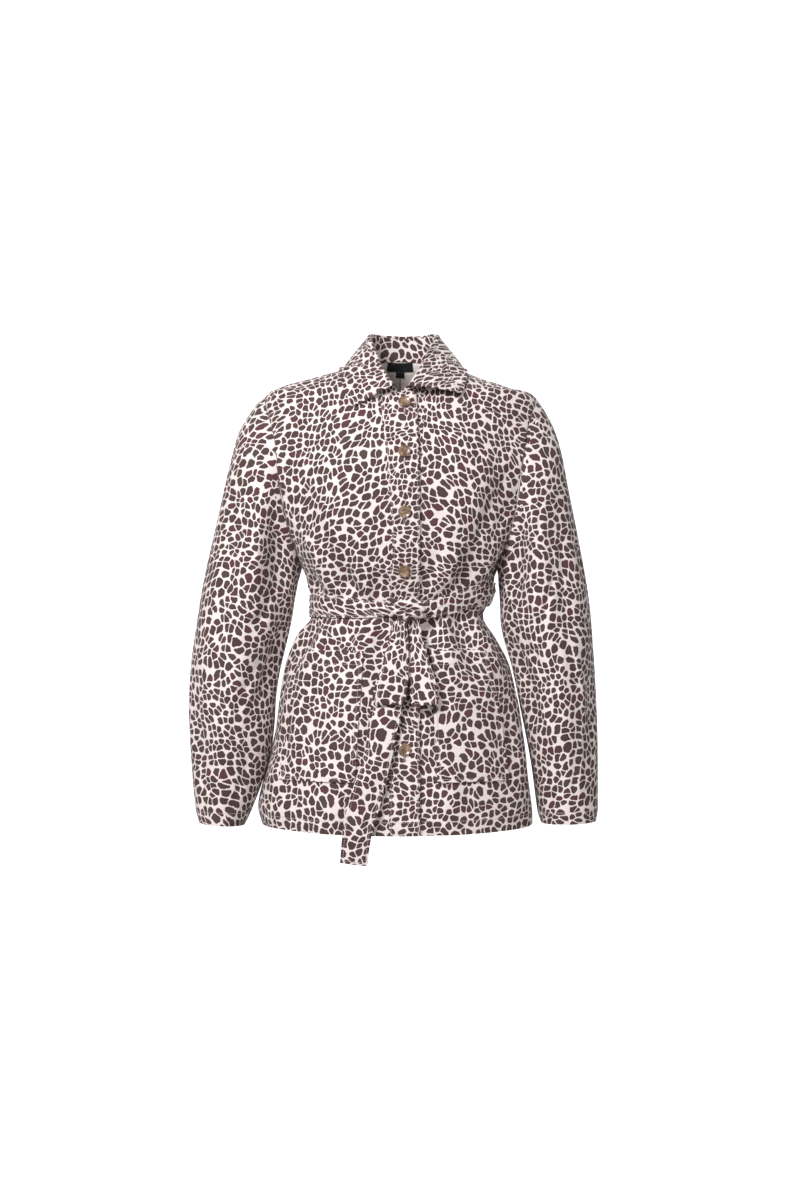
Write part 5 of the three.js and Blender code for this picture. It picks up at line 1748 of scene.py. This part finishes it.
class JACKET_OT_belt(bpy.types.Operator):
    """Make the belt: its band round the waist, the knot, the loop and the two ends"""
    bl_idname = "jacket.belt"
    bl_label = "Belt"

    def execute(self, context):
        grids = belt_band_points(quality())
        low = 3 * quality() // 2
        high = len(grids[0]) - 1 - low
        trim = stitch("stitches_belt_band", [line_on(grids, np.s_[low, :]), line_on(grids, np.s_[high, :])])
        sew("belt_band", grids, closed=True, offset=(10400.0, 0.0), trim=[trim], printed_both=True)
        sew("belt_knot", knot_points(1), closed=True, offset=(11600.0, 90.0), printed_both=True)
        strips = (
            ("belt_loop", BOW_LOOP, 16, 90, 26.0, 0.4, (12000.0, 300.0)),
            ("belt_short_end", SHORT_END, 16, 60, 30.0, 1.9, (12400.0, 210.0)),
            ("belt_long_end", LONG_END, 16, 130, 34.0, 3.1, (12800.0, 620.0)),
        )
        for node, table, columns, rows, crease, seed, offset in strips:
            grids = strip_points(table, columns * quality(), rows * quality(), crease, seed)
            length, width = grids[0].shape[:2]
            edge = round(0.09 * (width - 1))
            other = width - 1 - edge
            start = length // 8
            end = nearest_last_row(grids[0], 3.5)
            stop = length * 2 // 5 if node == "belt_loop" else end
            lines = [line_on(grids, np.s_[start:stop, column]) for column in (edge, other)]
            if node != "belt_loop":
                lines.append(line_on(grids, np.s_[end, edge:other + 1]))
            trim = stitch("stitches_" + node, lines)
            sew(node, grids, offset=offset, trim=[trim], printed_both=True)
        return {"FINISHED"}


class JACKET_OT_buttons(bpy.types.Operator):
    """Make the seven four-hole buttons, the thread through them and the buttonholes"""
    bl_idname = "jacket.buttons"
    bl_label = "Buttons"

    def execute(self, context):
        shape = button_points(1)
        threads = []
        holes = []
        for number, z in enumerate(BUTTON_HEIGHTS, start=1):
            centre, across, upward, off = button_frame(z)
            tilt = 0.5 * math.sin(2.4 * number)
            placed = carried(tilted(*np.moveaxis(shape, -1, 0), tilt), centre, across, upward, off)
            disc = turned_disc(f"shell_button_{number}", placed)
            own_node(disc, f"button_{number}", "button_shell")
            threads.extend(button_threads(centre, across, upward, off, tilt))
            holes.append(buttonhole(z))
        own_trim(tubes_mesh("button_threads", threads), "buttonhole_thread")
        own_trim(tubes_mesh("buttonholes", holes), "buttonhole_thread")
        return {"FINISHED"}


def turned_disc(name, grid):
    """A closed disc from a grid of rings whose first and last rings are single points."""
    rings = grid[1:-1, :-1]
    rows, columns = rings.shape[:2]
    points = np.concatenate([rings.reshape(-1, 3), grid[:1, 0], grid[-1:, 0]]) * MM
    faces = ring_faces(rows, columns)
    top, bottom = rows * columns, rows * columns + 1
    side = np.arange(columns)
    beside = (side + 1) % columns
    last = (rows - 1) * columns
    caps = [[top, b, a] for a, b in zip(side.tolist(), beside.tolist())]
    caps += [[bottom, last + a, last + b] for a, b in zip(side.tolist(), beside.tolist())]
    corners = outward(points, faces)
    if not np.array_equal(corners, faces):
        caps = [cap[::-1] for cap in caps]
    return place_object(name, make_mesh(name, points, corners.tolist() + caps))


def tilted(x, y, z, tilt):
    """Points of a button turned in its own face."""
    cosine, sine = math.cos(tilt), math.sin(tilt)
    return np.stack([x * cosine - y * sine, x * sine + y * cosine, z], axis=-1)


def button_threads(centre, across, upward, off, tilt):
    """Strands that pass over a button's middle, three between each pair of holes."""
    strands = []
    t = np.linspace(0, 1, 9)
    height = 1.2 + 1.5 * np.sin(math.pi * t) ** 0.6
    for side in (-1, 1):
        for strand in (-1, 0, 1):
            x = side * HOLE_OFF + strand * 0.3 + 0.05 * strand * np.sin(5 * t)
            y = 1.9 * (2 * t - 1)
            path = tilted(x, y, height + 0.08 * strand, tilt)
            strands.append(tube_points(carried(path, centre, across, upward, off), 0.2, 6))
    return strands


def buttonhole(z):
    """A vertical buttonhole: a bar of close stitches round a slit, most of it below its button."""
    t = np.linspace(0, 2 * math.pi, 41)
    x = 1.05 * np.sign(np.sin(t)) * np.abs(np.sin(t)) ** 0.4
    y = -6.0 + 11.0 * np.cos(t)
    row = row_at_height(z + y)
    angle = angle_across(BUTTON_LINE, row)
    base, normal = on_body(angle, row, np.full(t.shape, 0.42))
    across = np.cross(np.array([0.0, 0.0, 1.0]), normal)
    return tube_points(base + unit(across) * x[:, None], 0.62, 8, 0.5)


class JACKET_OT_labels(bpy.types.Operator):
    """Make the blank neck label and the blank size tab below it"""
    bl_idname = "jacket.labels"
    bl_label = "Labels"

    def execute(self, context):
        for label, node in ((NECK_LABEL, "neck_label"), (SIZE_TAB, "size_tab")):
            outer, inner, place, _ = label_points(label, 2)
            piece = ClothMesh(outer, inner, place).build("ribbon_" + node, reverse_bare=False)
            own_node(piece, node, "label_weave")
        return {"FINISHED"}


# Stage, in metres. The floor lies far below the garment and the camera.
DOME_RADIUS = 9.0
FLOOR_HALF = 6.0
FLOOR_HEIGHT = -3.6
WORLD_COLOUR = (1.0, 0.99, 0.985, 1.0)
WORLD_STRENGTH = 0.36
CAMERA_PLACE = (0.0, -3.0, -0.342)
CAMERA_LENS = 60.0
LIGHT_AIM = Vector((0.0, 0.0, -0.34))

# Lights: name, place, size, power
LIGHTS = (
    ("key_light", (-1.4, -2.6, 1.4), 1.0, 101.0),
    ("fill_light", (1.6, -3.0, -0.4), 2.0, 14.0),
    ("back_light", (0.6, 2.6, 1.2), 1.8, 40.0),
)


class JACKET_OT_stage(bpy.types.Operator):
    """Set the pale studio, its lights and the camera of the picture"""
    bl_idname = "jacket.stage"
    bl_label = "Stage"

    def execute(self, context):
        scene = context.scene
        dome = sphere_object("studio_dome", DOME_RADIUS)
        floor = level_square("studio_floor", FLOOR_HALF, FLOOR_HEIGHT)
        for piece in (dome, floor):
            piece.data.materials.append(material("studio_white"))
            for name in ("visible_diffuse", "visible_glossy", "visible_transmission", "visible_shadow"):
                setattr(piece, name, False)
        world = scene.world or bpy.data.worlds.new("studio")
        scene.world = world
        world.use_nodes = True
        background = world.node_tree.nodes["Background"]
        background.inputs["Color"].default_value = WORLD_COLOUR
        background.inputs["Strength"].default_value = WORLD_STRENGTH
        for name, place, size, power in LIGHTS:
            light = bpy.data.lights.new(name, "AREA")
            light.shape = "DISK"
            light.size = size
            light.energy = power
            lamp = bpy.data.objects.new(name, light)
            lamp.location = place
            lamp.rotation_euler = (LIGHT_AIM - Vector(place)).to_track_quat("-Z", "Y").to_euler()
            scene.collection.objects.link(lamp)
        camera = bpy.data.objects.new("camera", bpy.data.cameras.new("camera"))
        camera.data.sensor_width = 36.0
        camera.data.lens = CAMERA_LENS
        camera.location = CAMERA_PLACE
        camera.rotation_euler = (math.pi / 2, 0.0, 0.0)
        scene.collection.objects.link(camera)
        scene.camera = camera
        scene.view_settings.view_transform = "Standard"
        scene.view_settings.look = "None"
        return {"FINISHED"}


def level_square(name, half, height):
    """A level square of the given half side, facing up."""
    corners = np.array([(-1.0, -1.0), (1.0, -1.0), (1.0, 1.0), (-1.0, 1.0)]) * half
    points = np.column_stack([corners, np.full(4, height)])
    return place_object(name, make_mesh(name, points, np.array([[0, 1, 2, 3]])))


def sphere_object(name, radius):
    """A sphere of 24 rings seen from inside, open by a hand's breadth at its top and bottom."""
    around = np.linspace(0, 2 * math.pi, 48, endpoint=False)
    turn, polar = np.meshgrid(around, np.linspace(0.02, math.pi - 0.02, 24))
    points = np.stack([np.sin(polar) * np.cos(turn), np.sin(polar) * np.sin(turn), np.cos(polar)], axis=-1)
    return place_object(name, make_mesh(name, points.reshape(-1, 3) * radius, ring_faces(24, 48)))


OPERATORS = (
    JACKET_OT_fronts,
    JACKET_OT_backs,
    JACKET_OT_sleeves,
    JACKET_OT_collar,
    JACKET_OT_pockets,
    JACKET_OT_belt,
    JACKET_OT_buttons,
    JACKET_OT_labels,
    JACKET_OT_stage,
)


class JACKET_PT_sewing(bpy.types.Panel):
    """Lists the pieces of the jacket and its finishes"""
    bl_label = "Jacket"
    bl_idname = "JACKET_PT_sewing"
    bl_space_type = "VIEW_3D"
    bl_region_type = "UI"
    bl_category = "Jacket"

    def draw(self, context):
        layout = self.layout
        for group in (context.scene.jacket_cloth, context.scene.jacket_finish):
            box = layout.box()
            for name in group.__annotations__:
                box.prop(group, name)
        for operator in OPERATORS:
            layout.operator(operator.bl_idname)


CLASSES = (JacketCloth, JacketFinish, *OPERATORS, JACKET_PT_sewing)


def register():
    """Registers the classes and the two groups of values."""
    for each in CLASSES:
        bpy.utils.register_class(each)
    bpy.types.Scene.jacket_cloth = bpy.props.PointerProperty(type=JacketCloth)
    bpy.types.Scene.jacket_finish = bpy.props.PointerProperty(type=JacketFinish)


def unregister():
    """Takes the classes and the groups away again."""
    del bpy.types.Scene.jacket_finish
    del bpy.types.Scene.jacket_cloth
    for each in reversed(CLASSES):
        bpy.utils.unregister_class(each)


def main():
    """Registers the add-on and makes the whole jacket, piece by piece."""
    register()
    for operator in OPERATORS:
        getattr(bpy.ops.jacket, operator.bl_idname.split(".")[1])()


if __name__ == "__main__":
    main()
